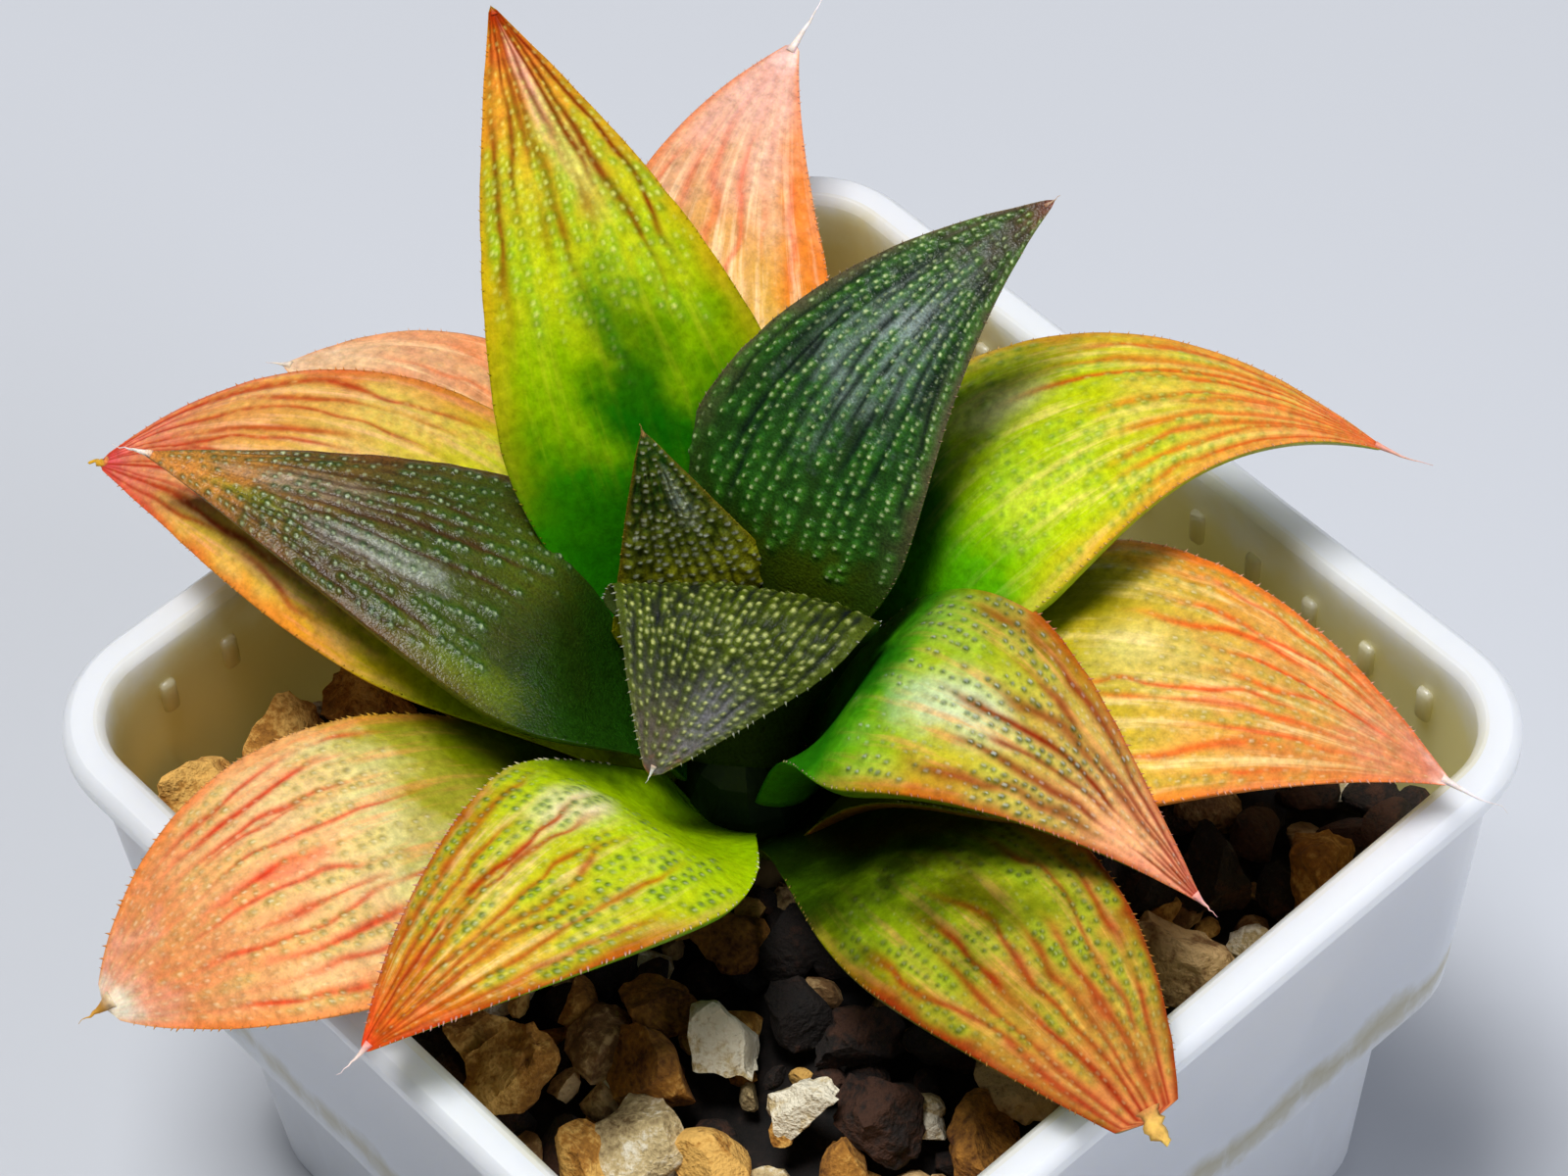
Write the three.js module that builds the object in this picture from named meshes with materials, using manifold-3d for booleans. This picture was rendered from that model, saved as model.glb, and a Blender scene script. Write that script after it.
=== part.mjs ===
// A potted haworthia. Fourteen thick, toothed leaves grow in a loose rosette on a short stem with
// fleshy roots. The stem stands in mineral grit, which fills a square plastic nursery pot.
// Millimetres, +Z up. The origin is the middle of the pot's base, and the pot's sides lie along X
// and Y. The rosette keeps a frame of its own at the middle of the rim, turned in the pot.
import * as THREE from 'three';
import { mergeVertices } from 'three/addons/utils/BufferGeometryUtils.js';
import Module from 'manifold-3d';

const wasm = await Module();
wasm.setup();

// ---------------------------------------------------------------- driving dimensions
const GAP = 0.3; // what touching pieces keep between them

const POT_HEIGHT = 54;
const RIM_SIDE = 75; // outside the lip
const RIM_WIDTH = 3;
const RIM_CORNER = 8.8; // outer corner radius at the lip
const LIP_DEPTH = 2.6;
const WALL = 1.5;
const SHOULDER_DEPTH = 28; // from the rim down to the step in the wall
const SHOULDER_STEP = 3;
const BASE_SIDE = 61;
const FLOOR = 2;
const CORNER_STEPS = 4;
const DRAIN_RADIUS = 2.5;
const DRAIN_REACH = 18;

const GRIT_DEPTH = 10; // from the rim down to the tops of the grains
const GRAIN_PITCH = 7;
const GRAIN_RELIEF = 2.6;
const GRIT_CELLS = 24; // cells along one side of the grit's surface

const ROSETTE_TURN = 50.5; // degrees, from the pot's X axis to the rosette's own
const STEM_X = -3; // the stem's axis in the rosette's frame
const STEM_Y = 0.5;
const ROOT_COUNT = 5;
const ROOT_LENGTH = 26;

const STATIONS = 23; // along a leaf
const FACE_POINTS = 9; // across its upper face, margins included
const BACK_POINTS = 3; // across its underside
const TOOTH = 0.45; // how far the marginal teeth stand out
const TUBERCLE = 0.4; // how far the tubercles stand up
const BRISTLE = 1.4; // the tip's bristle

// Points are [x, y, z] in the rosette's frame, from the rim: rise and arch bend the midrib between
// its seat on the stem and its tip. azimuth is the way a leaf faces, and roll turns its blade from
// seat to tip. widest is the place along the leaf where it is widest, and taper and blunt shape its
// outline from there to the tip. The youngest leaf is first, because an older one gives way to it.
const LEAVES = [
  { name: 'leaf_01_heart_front', azimuth: -102, seat: [1.4, -4], rise: [-2, 7, 5],
    arch: [-0.5, 3.4, 16.5], tip: [-9.4, -7.6, 4], width: 19, thick: 3, widest: 0.5, taper: 1.9,
    blunt: 0.9, colour: '#4a4f36' },
  { name: 'leaf_02_heart_back', azimuth: 100, seat: [3.6, -3], rise: [-5, 7, 3], arch: [-7, 7, 14],
    tip: [-8, 7.5, 22], width: 12.5, thick: 3, widest: 0.35, taper: 1, blunt: 1, colour: '#3a4428' },
  { name: 'leaf_03_dark_right', azimuth: 52, seat: [3, -3.5], rise: [-2.6, 5, 7], arch: [2.2, 13.6, 20],
    tip: [20.3, 19.7, 28], width: 18.2, thick: 4.5, widest: 0.45, taper: 1.85, colour: '#2f4a33' },
  { name: 'leaf_04_dark_left', azimuth: 163, seat: [3, -4], rise: [-10, 3, 6], arch: [-25, 8, 14],
    tip: [-42.5, 17, 12], width: 19, thick: 5.5, widest: 0.42, colour: '#47502f' },
  { name: 'leaf_05_front_right', azimuth: -35, seat: [3, -5], rise: [4, 1, 10], arch: [13.5, -8, 14],
    tip: [26.2, -20, 3], width: 19.4, thick: 5.5, widest: 0.45, colour: '#7f9a36' },
  { name: 'leaf_06_tall_back', azimuth: 109, seat: [3.4, -5], rise: [-5, 8, 8], arch: [-11.5, 24, 24],
    tip: [-16.8, 42, 27], width: 20, thick: 5.5, widest: 0.45, colour: '#98ad2c' },
  { name: 'leaf_07_right', azimuth: 15, seat: [3.6, -6], rise: [6, 7, 6], arch: [22, 18, 20.5],
    tip: [42, 11.5, 9], width: 21, thick: 6, widest: 0.45, colour: '#a8bc38' },
  { name: 'leaf_08_front_left', azimuth: -133, seat: [3.6, -7], rise: [-7, -10, 5.5],
    arch: [-18, -18.6, 10.5], tip: [-28.3, -28.2, 5.5], width: 18.6, thick: 4.6, widest: 0.42,
    taper: 1.6, blunt: 0.95, colour: '#a6b84a' },
  { name: 'leaf_09_low_right', azimuth: -14, seat: [4, -8.5], rise: [10, 2, 3], arch: [27, -3.2, 11],
    tip: [43.5, -12, 3], width: 23.4, thick: 6, widest: 0.5, taper: 1.7, colour: '#d99a5e' },
  { name: 'leaf_10_low_front', azimuth: -56, seat: [4, -8], rise: [4.6, -7.6, -2], arch: [13.8, -21.4, 7],
    tip: [22.3, -38, 2], width: 18, thick: 6, widest: 0.55, taper: 1.8, blunt: 0.9, end: 0.94,
    colour: '#a8933f' },
  { name: 'leaf_11_low_left', azimuth: -153, seat: [4, -8.5], rise: [-14, -5, -2],
    arch: [-28.6, -12.2, 9.6], tip: [-45.6, -21, 1.6], width: 23.4, thick: 5, widest: 0.58,
    taper: 2.4, blunt: 0.8, colour: '#dd9a6b' },
  { name: 'leaf_12_left', azimuth: 155, seat: [4, -8], rise: [-15, 8.8, 0], arch: [-29.4, 18.6, 12.5],
    tip: [-46.6, 22.2, 4.6], width: 24, thick: 4.5, widest: 0.5, taper: 2.1, blunt: 0.95,
    colour: '#c9a850' },
  { name: 'leaf_13_low_back_left', azimuth: 130, seat: [4, -9], rise: [-11, 15, -4],
    arch: [-21, 26.6, 6.2], tip: [-34, 31.4, 3], width: 17, thick: 3.6, widest: 0.6, taper: 2,
    colour: '#dca878' },
  { name: 'leaf_14_low_back', azimuth: 90, seat: [4, -9], rise: [-2, 14, -4], arch: [-9.5, 33, 7],
    tip: [4.4, 51, 12], width: 19.4, thick: 5, widest: 0.55, taper: 1.9, blunt: 1, roll: [0, -10],
    colour: '#dc9678' },
];

// ---------------------------------------------------------------- small tools
const radians = (degrees) => (degrees * Math.PI) / 180;
const mix = (a, b, t) => a + (b - a) * t;
const clamp01 = (t) => Math.min(Math.max(t, 0), 1);
const ease = (t) => clamp01(t) ** 2 * (3 - 2 * clamp01(t));
const point = ([x, y, z]) => new THREE.Vector3(x, y, z);

// A stream of numbers from 0 to 1 that is the same in every run.
function seededRandom(seed) {
  let state = seed;
  return () => {
    state = (state + 0x6d2b79f5) | 0;
    let t = Math.imul(state ^ (state >>> 15), 1 | state);
    t = (t + Math.imul(t ^ (t >>> 7), 61 | t)) ^ t;
    return ((t ^ (t >>> 14)) >>> 0) / 4294967296;
  };
}

// A closed skin over rings of equally many points, shut at each end by a fan to a point.
function loft(rings, firstEnd, lastEnd) {
  const count = rings[0].length;
  const points = rings.flat();
  const first = points.push(firstEnd) - 1;
  const last = points.push(lastEnd) - 1;
  const index = [];
  for (let i = 0; i < rings.length; i += 1) {
    for (let j = 0; j < count; j += 1) {
      const here = i * count + j;
      const beside = i * count + ((j + 1) % count);
      if (i === 0) index.push(first, beside, here);
      if (i === rings.length - 1) index.push(last, here, beside);
      else index.push(here, beside, here + count, beside, beside + count, here + count);
    }
  }
  const geometry = new THREE.BufferGeometry();
  geometry.setFromPoints(points);
  geometry.setIndex(index);
  return facingOut(geometry);
}

// Turns every face round if the skin is inside out.
function facingOut(geometry) {
  const position = geometry.attributes.position;
  const index = geometry.index.array;
  const corner = [new THREE.Vector3(), new THREE.Vector3(), new THREE.Vector3()];
  let volume = 0;
  for (let i = 0; i < index.length; i += 3) {
    corner.forEach((v, k) => v.fromBufferAttribute(position, index[i + k]));
    volume += corner[0].dot(corner[1].clone().cross(corner[2]));
  }
  if (volume < 0) index.reverse();
  return geometry;
}

function toSolid(geometry) {
  const bare = geometry.clone();
  bare.deleteAttribute('normal');
  bare.deleteAttribute('uv');
  const merged = mergeVertices(bare, 1e-5);
  const vertProperties = new Float32Array(merged.attributes.position.array);
  const triVerts = new Uint32Array(merged.index.array);
  return new wasm.Manifold(new wasm.Mesh({ numProp: 3, vertProperties, triVerts }));
}

function toGeometry(solid) {
  const mesh = solid.getMesh();
  const geometry = new THREE.BufferGeometry();
  geometry.setAttribute('position', new THREE.BufferAttribute(mesh.vertProperties, 3));
  geometry.setIndex(new THREE.BufferAttribute(mesh.triVerts, 1));
  return geometry;
}

// The biggest body of a cut solid: loose scraps are dropped.
function biggestBody(solid) {
  const bodies = solid.decompose();
  return bodies.reduce((best, body) => (body.volume() > best.volume() ? body : best));
}

function namedMesh(name, geometry, colour, roughness) {
  const material = new THREE.MeshStandardMaterial({ color: colour, roughness, metalness: 0 });
  const mesh = new THREE.Mesh(geometry, material);
  mesh.name = name;
  return mesh;
}

// ---------------------------------------------------------------- pot
// A square with round corners, as a ring of points.
function squareRing(half, corner, z) {
  const ring = [];
  for (let side = 0; side < 4; side += 1) {
    for (let step = 0; step <= CORNER_STEPS; step += 1) {
      const angle = radians(90 * (side + step / CORNER_STEPS));
      const centre = radians(90 * side + 45);
      const reach = (half - corner) * Math.SQRT2;
      const x = reach * Math.cos(centre) + corner * Math.cos(angle);
      const y = reach * Math.sin(centre) + corner * Math.sin(angle);
      ring.push(new THREE.Vector3(x, y, z));
    }
  }
  return ring;
}

const RIM_HALF = RIM_SIDE / 2;
const BASE_HALF = BASE_SIDE / 2;
const INNER_HALF = RIM_HALF - RIM_WIDTH;
const COLLAR_HALF = INNER_HALF + WALL - 1.2; // the collar leans in a little on its way down
const SHOULDER_TOP = POT_HEIGHT - SHOULDER_DEPTH;
const SHOULDER_FOOT = SHOULDER_TOP - SHOULDER_STEP;
const LOWER_HALF = COLLAR_HALF - SHOULDER_STEP;

// The inside of the wall, from the floor up: [half width, corner radius, height].
const INSIDE = [
  [BASE_HALF - WALL, 5, FLOOR],
  [LOWER_HALF - WALL, 5.5, SHOULDER_FOOT],
  [COLLAR_HALF - WALL, 6, SHOULDER_TOP],
  [INNER_HALF, 5.8, POT_HEIGHT - 0.6],
];

const OUTSIDE = [
  [BASE_HALF - 1, 5.5, 0],
  [BASE_HALF, 6.5, 1],
  [LOWER_HALF, 7, SHOULDER_FOOT],
  [COLLAR_HALF, 7.5, SHOULDER_TOP],
  [INNER_HALF + WALL, 7.3, POT_HEIGHT - LIP_DEPTH - 0.3],
  [RIM_HALF - 0.4, RIM_CORNER - 0.3, POT_HEIGHT - LIP_DEPTH],
  [RIM_HALF, RIM_CORNER, POT_HEIGHT - LIP_DEPTH + 0.7],
  [RIM_HALF, RIM_CORNER, POT_HEIGHT - 0.8],
  [RIM_HALF - 0.7, RIM_CORNER - 0.6, POT_HEIGHT],
];

function potGeometry() {
  const lipTop = [INNER_HALF + 0.5, 6.3, POT_HEIGHT];
  const profile = [...OUTSIDE, lipTop, ...INSIDE.slice().reverse()];
  const rings = profile.map(([half, corner, z]) => squareRing(half, corner, z));
  let pot = toSolid(loft(rings, point([0, 0, 0]), point([0, 0, FLOOR])));
  for (let i = 0; i < 8; i += 1) {
    const hole = new THREE.CylinderGeometry(DRAIN_RADIUS, DRAIN_RADIUS, FLOOR * 4, 8);
    const angle = radians(45 * i);
    hole.rotateX(Math.PI / 2);
    hole.translate(DRAIN_REACH * Math.cos(angle), DRAIN_REACH * Math.sin(angle), 0);
    pot = pot.subtract(toSolid(hole));
  }
  return toGeometry(pot);
}

// ---------------------------------------------------------------- stem and roots
// The stem's outline from its tapered foot in the grit to its growing point: [radius, height].
const STEM_OUTLINE = [
  [0, -30], [1.8, -28], [3.6, -20], [4.6, -14], [5, -10], [4.6, -7], [3.6, -4.6], [2, -3], [0, -2.4],
];

function stemGeometry(grow) {
  const last = STEM_OUTLINE.length - 1;
  const outline = STEM_OUTLINE.map(([radius, z], i) => {
    const end = i === 0 || i === last;
    const lift = (i === 0 ? -grow : 0) + (i === last ? grow : 0);
    return new THREE.Vector2(end ? 0 : radius + grow, z + lift);
  });
  const geometry = new THREE.LatheGeometry(outline, 12);
  geometry.rotateX(Math.PI / 2);
  geometry.translate(STEM_X, STEM_Y, 0);
  return geometry;
}

// One fleshy root, which leaves the stem's side and bends down through the grit.
function rootGeometry(number, grow) {
  const sides = 5;
  const steps = 4;
  const angle = radians((360 / ROOT_COUNT) * number + 20);
  const rings = [];
  for (let i = 0; i <= steps; i += 1) {
    const t = i / steps;
    const reach = 2 + ROOT_LENGTH * 0.55 * t;
    const z = -15 - ROOT_LENGTH * (0.2 * t + 0.6 * t * t);
    const radius = mix(2, 0.8, t) + grow;
    const centre = new THREE.Vector3(reach * Math.cos(angle), reach * Math.sin(angle), z);
    const ring = [];
    for (let j = 0; j < sides; j += 1) {
      const turn = (2 * Math.PI * j) / sides;
      const out = radius * Math.cos(turn);
      const side = radius * Math.sin(turn);
      // The ring leans with the root: upright at the stem, almost flat at the tip.
      const lean = mix(0.9, 0.3, t);
      ring.push(new THREE.Vector3(
        STEM_X + centre.x + out * (1 - lean) * Math.cos(angle) - side * Math.sin(angle),
        STEM_Y + centre.y + out * (1 - lean) * Math.sin(angle) + side * Math.cos(angle),
        centre.z + out * lean,
      ));
    }
    rings.push(ring);
  }
  const middle = (ring) => ring.reduce((sum, p) => sum.add(p), new THREE.Vector3()).divideScalar(sides);
  const tip = middle(rings[steps]).add(new THREE.Vector3(0, 0, -1 - grow));
  return loft(rings, middle(rings[0]), tip);
}

function stemSolid(grow) {
  let solid = toSolid(stemGeometry(grow));
  for (let number = 0; number < ROOT_COUNT; number += 1) {
    solid = solid.add(toSolid(rootGeometry(number, grow)));
  }
  return solid;
}

// ---------------------------------------------------------------- leaves
// Half the blade's width at a place along it.
function halfWidth(leaf, along) {
  const { width, widest, taper = 1.5, blunt = 1.1 } = leaf;
  const seatShare = 0.4;
  if (along < widest) return (width / 2) * mix(seatShare, 1, ease(along / widest));
  const left = 1 - ((along - widest) / (1 - widest)) ** taper;
  return (width / 2) * left ** blunt;
}

// The blade's thickness under its midrib: fullest at a third of its length.
function thickness(leaf, along) {
  if (along < 0.35) return leaf.thick * mix(0.5, 1, ease(along / 0.35));
  return leaf.thick * (1 - ((along - 0.35) / 0.65) ** 1.6) ** 0.9;
}

// The upper face is a trough at the seat and swells from there to the tip.
function faceSwell(along) {
  const swell = mix(-0.3, 0.16, ease((along - 0.1) / 0.35));
  return swell * (1 - 0.6 * ease((along - 0.75) / 0.25));
}

// The midrib's point there, with the blade's directions: along it, across it and up from its face.
function bladeFrame(leaf, curve, along) {
  const facing = radians(leaf.azimuth);
  const [rollSeat, rollTip] = (leaf.roll ?? [0, 0]).map(radians);
  const ahead = curve.getTangent(along);
  const across = new THREE.Vector3(-Math.sin(facing), Math.cos(facing), 0);
  across.addScaledVector(ahead, -across.dot(ahead)).normalize();
  across.applyAxisAngle(ahead, mix(rollSeat, rollTip, ease(along)));
  const up = ahead.clone().cross(across);
  return { middle: curve.getPoint(along), ahead, across, up };
}

// Teeth stand out at every second station, where rows of tubercles stand up between the margins.
function leafRing(leaf, curve, along, station, grow) {
  const { middle, across, up } = bladeFrame(leaf, curve, along);
  const half = halfWidth(leaf, along) + grow;
  const thick = thickness(leaf, along) + grow;
  const swell = faceSwell(along) * half;
  const rough = along > 0.22 ? Math.min(1, half / 6) : 0;
  const at = (out, rise) => middle.clone().addScaledVector(across, out).addScaledVector(up, rise);
  const ring = [];
  for (let j = 0; j < FACE_POINTS; j += 1) {
    const share = 1 - (2 * j) / (FACE_POINTS - 1);
    const margin = j === 0 || j === FACE_POINTS - 1;
    const tooth = margin && station % 2 ? TOOTH * rough * Math.sign(share) : 0;
    const bump = !margin && station % 2 && j % 2 ? TUBERCLE * rough : 0;
    ring.push(at(half * share + tooth, swell * (1 - share * share) + bump + grow * (margin ? 0.5 : 1)));
  }
  for (let j = 1; j <= BACK_POINTS; j += 1) {
    const share = -1 + (2 * j) / (BACK_POINTS + 1);
    ring.push(at(half * share, -thick * (1 - Math.abs(share) ** 2.2) ** 0.65));
  }
  return ring;
}

function leafSolid(leaf, grow) {
  const facing = radians(leaf.azimuth);
  const [reach, seatHeight] = leaf.seat;
  const seat = point([
    STEM_X + reach * Math.cos(facing),
    STEM_Y + reach * Math.sin(facing),
    seatHeight,
  ]);
  const curve = new THREE.CubicBezierCurve3(seat, point(leaf.rise), point(leaf.arch), point(leaf.tip));
  const end = leaf.end ?? 0.965;
  const rings = [];
  for (let station = 0; station <= STATIONS; station += 1) {
    rings.push(leafRing(leaf, curve, (end * station) / STATIONS, station, grow));
  }
  const bristle = (leaf.end ? 0.4 : BRISTLE) + grow;
  const tip = curve.getPoint(leaf.end ? end : 1).addScaledVector(curve.getTangent(1), bristle);
  const back = curve.getTangent(0).multiplyScalar(-grow);
  rings[0].forEach((p) => p.add(back));
  const foot = curve.getPoint(0).addScaledVector(back, 2);
  foot.addScaledVector(bladeFrame(leaf, curve, 0).up, -leaf.thick * 0.2);
  return toSolid(loft(rings, foot, tip));
}

// ---------------------------------------------------------------- grit
// The bed's surface: a low dome for each grain, on a grid of places shaken out of line.
function gritSurface() {
  const random = seededRandom(7);
  const half = RIM_HALF;
  const perSide = Math.ceil((2 * half) / GRAIN_PITCH) + 1;
  const grains = [];
  for (let i = 0; i < perSide; i += 1) {
    for (let j = 0; j < perSide; j += 1) {
      grains.push({
        x: -half + (i + 0.7 * (random() - 0.5)) * GRAIN_PITCH,
        y: -half + (j + 0.7 * (random() - 0.5)) * GRAIN_PITCH,
        top: -0.8 * random(),
      });
    }
  }
  return (x, y) => {
    const heights = grains.map((grain) => {
      const away = Math.hypot(x - grain.x, y - grain.y) / GRAIN_PITCH;
      return grain.top - GRAIN_RELIEF * away ** 2 * 2;
    });
    return POT_HEIGHT - GRIT_DEPTH + Math.max(...heights, -GRAIN_RELIEF);
  };
}

// A slab under the bed's surface, wider than the pot.
function gritSlab() {
  const surface = gritSurface();
  const side = RIM_SIDE;
  const top = new THREE.PlaneGeometry(side, side, GRIT_CELLS, GRIT_CELLS);
  const position = top.attributes.position;
  for (let i = 0; i < position.count; i += 1) {
    position.setZ(i, surface(position.getX(i), position.getY(i)));
  }
  const row = GRIT_CELLS + 1;
  const count = row * row;
  const points = [];
  for (let i = 0; i < count; i += 1) {
    points.push(new THREE.Vector3().fromBufferAttribute(position, i));
  }
  for (let i = 0; i < count; i += 1) points.push(points[i].clone().setZ(-1));
  const face = Array.from(top.index.array);
  const index = [...face];
  for (let i = 0; i < face.length; i += 3) {
    index.push(face[i] + count, face[i + 2] + count, face[i + 1] + count);
  }
  // The walls between the two, round the edge of the sheet.
  const edge = [];
  for (let i = 0; i < GRIT_CELLS; i += 1) edge.push(i);
  for (let i = 0; i < GRIT_CELLS; i += 1) edge.push(i * row + GRIT_CELLS);
  for (let i = GRIT_CELLS; i > 0; i -= 1) edge.push(GRIT_CELLS * row + i);
  for (let i = GRIT_CELLS; i > 0; i -= 1) edge.push(i * row);
  edge.forEach((here, i) => {
    const next = edge[(i + 1) % edge.length];
    index.push(here, next, here + count, next, next + count, here + count);
  });
  const slab = new THREE.BufferGeometry();
  slab.setFromPoints(points);
  slab.setIndex(index);
  return toSolid(slab);
}

// What the pot can hold below its rim, clear of its wall.
function potFilling() {
  const rings = INSIDE.map(([half, corner, z], i) => {
    return squareRing(half - GAP, corner - GAP, z + (i === 0 ? GAP : 0));
  });
  const floor = point([0, 0, FLOOR + GAP]);
  return toSolid(loft(rings, floor, point([0, 0, POT_HEIGHT - 0.6])));
}

// ---------------------------------------------------------------- the whole
const toPot = new THREE.Matrix4().makeRotationZ(radians(ROSETTE_TURN)).setPosition(0, 0, POT_HEIGHT);
const inPot = (solid) => toSolid(toGeometry(solid).applyMatrix4(toPot));

const part = new THREE.Group();
const rosette = new THREE.Group();
rosette.rotation.z = radians(ROSETTE_TURN);
rosette.position.z = POT_HEIGHT;

const grownStem = stemSolid(GAP);
let bed = potFilling().intersect(gritSlab()).subtract(inPot(grownStem));

// Each leaf gives way to the stem and to every younger leaf.
const younger = [grownStem];
for (const leaf of LEAVES) {
  let blade = leafSolid(leaf, 0);
  for (const neighbour of younger) blade = blade.subtract(neighbour);
  blade = biggestBody(blade);
  rosette.add(namedMesh(leaf.name, toGeometry(blade), leaf.colour, 0.45));
  const grown = leafSolid(leaf, GAP);
  younger.push(grown);
  bed = bed.subtract(inPot(grown));
}

part.add(namedMesh('pot', potGeometry(), '#e9eaec', 0.3));
part.add(namedMesh('grit_bed', toGeometry(biggestBody(bed)), '#8a6a48', 0.95));
rosette.add(namedMesh('stem_with_roots', toGeometry(stemSolid(0)), '#b9a981', 0.7));
part.add(rosette);

export default part;
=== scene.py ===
# A potted haworthia: fourteen thick, toothed leaves in a loose rosette, in mineral grit, in a
# square white nursery pot. Metres, +Z up. The sections follow the plant as it is potted up.
import math

import bpy
import numpy as np
from mathutils import Matrix, Vector
from mathutils.bvhtree import BVHTree


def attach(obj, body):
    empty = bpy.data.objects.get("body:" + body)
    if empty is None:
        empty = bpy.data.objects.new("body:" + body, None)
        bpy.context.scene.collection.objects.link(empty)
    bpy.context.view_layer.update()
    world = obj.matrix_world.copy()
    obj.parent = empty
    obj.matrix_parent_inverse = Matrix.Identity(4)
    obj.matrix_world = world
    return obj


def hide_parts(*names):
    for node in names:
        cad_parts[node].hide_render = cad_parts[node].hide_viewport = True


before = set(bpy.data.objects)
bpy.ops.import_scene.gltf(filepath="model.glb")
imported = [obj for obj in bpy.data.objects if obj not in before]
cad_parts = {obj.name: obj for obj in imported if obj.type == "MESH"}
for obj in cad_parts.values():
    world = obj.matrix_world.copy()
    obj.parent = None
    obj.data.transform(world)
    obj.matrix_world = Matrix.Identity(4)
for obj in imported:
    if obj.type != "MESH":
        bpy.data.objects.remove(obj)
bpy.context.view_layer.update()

# ------------------------------------------------------------------ camera, floor and light
# The camera looks down on the pot from its front corner, as the photograph does. The pot stands on
# a pale painted board, which is matt and plain. One large soft light hangs nearly overhead, a
# little to the left, and a weaker one stands in front on the right.
MM = 0.001
RIM = 54.0  # height of the pot's rim in millimetres


def linear(code):
    """The linear colour of an sRGB hex value."""
    parts = [int(code[i:i + 2], 16) / 255 for i in (1, 3, 5)]
    return (*[c / 12.92 if c <= 0.04045 else ((c + 0.055) / 1.055) ** 2.4 for c in parts], 1.0)


def feed(tree, node, feeds):
    """Gives each named input of a node its value, or a link from another node's output."""
    for name, value in feeds.items():
        if isinstance(value, bpy.types.NodeSocket):
            tree.links.new(value, node.inputs[name])
        else:
            node.inputs[name].default_value = value


def new_material(name):
    """An empty material, with its node tree and its Principled shader."""
    material = bpy.data.materials.new(name)
    material.use_nodes = True
    tree = material.node_tree
    return material, tree, next(n for n in tree.nodes if n.type == "BSDF_PRINCIPLED")


CAMERA_TARGET = Vector((-7.90, 7.12, RIM)) * MM
CAMERA_DISTANCE = 336.65 * MM
camera_azimuth, camera_elevation, camera_roll = (math.radians(a) for a in (50.49, 52.52, -4.03))
back = Vector((
    math.sin(camera_azimuth) * math.cos(camera_elevation),
    -math.cos(camera_azimuth) * math.cos(camera_elevation),
    math.sin(camera_elevation),
))
level = Vector((math.cos(camera_azimuth), math.sin(camera_azimuth), 0.0))
steep = back.cross(level)
right = level * math.cos(camera_roll) + steep * math.sin(camera_roll)
upward = steep * math.cos(camera_roll) - level * math.sin(camera_roll)
camera_place = CAMERA_TARGET + back * CAMERA_DISTANCE
camera_data = bpy.data.cameras.new("camera")
camera_data.lens = 112.5
camera_data.sensor_width = 36.0
camera_data.clip_start = 0.01
camera = bpy.data.objects.new("camera", camera_data)
bpy.context.scene.collection.objects.link(camera)
camera.matrix_world = Matrix((
    (right.x, upward.x, back.x, camera_place.x),
    (right.y, upward.y, back.y, camera_place.y),
    (right.z, upward.z, back.z, camera_place.z),
    (0.0, 0.0, 0.0, 1.0),
))
bpy.context.scene.camera = camera
bpy.context.scene.view_settings.view_transform = "Standard"

bpy.ops.object.select_all(action="DESELECT")
bpy.ops.mesh.primitive_plane_add(size=6.0, location=(0.0, 0.0, 0.0))
floor = bpy.context.active_object
floor.name = "floor"
painted_board, tree, shader = new_material("painted_board")
feed(tree, shader, {"Base Color": linear("#c6c9cf"), "Roughness": 0.75})
floor.data.materials.append(painted_board)

# Each light is a square softbox: name, where it hangs in the picture's own directions
# (right, away and up, in metres from the rim), its side, its power in watts and its colour.
LIGHTS = [
    ("overhead_light", (-0.12, 0.02, 0.92), 0.32, 9.2, "#ffffff"),
    ("side_light", (0.8, -0.4, 0.4), 0.5, 3.4, "#eef2ff"),
]
into_picture = Vector((-math.sin(camera_azimuth), math.cos(camera_azimuth), 0.0))
for name, (across, away, above), side, power, colour in LIGHTS:
    light = bpy.data.lights.new(name, "AREA")
    light.shape = "SQUARE"
    light.size = side
    light.energy = power
    light.color = linear(colour)[:3]
    lamp = bpy.data.objects.new(name, light)
    bpy.context.scene.collection.objects.link(lamp)
    spot = level * across + into_picture * away + Vector((0.0, 0.0, above + RIM * MM))
    turn = (spot - CAMERA_TARGET).to_track_quat("Z", "Y")
    lamp.matrix_world = Matrix.Translation(spot) @ turn.to_matrix().to_4x4()

world = bpy.data.worlds.new("pale_room")
bpy.context.scene.world = world
world.use_nodes = True
background = world.node_tree.nodes["Background"]
feed(world.node_tree, background, {"Color": linear("#e9eef8"), "Strength": 0.13})

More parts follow.
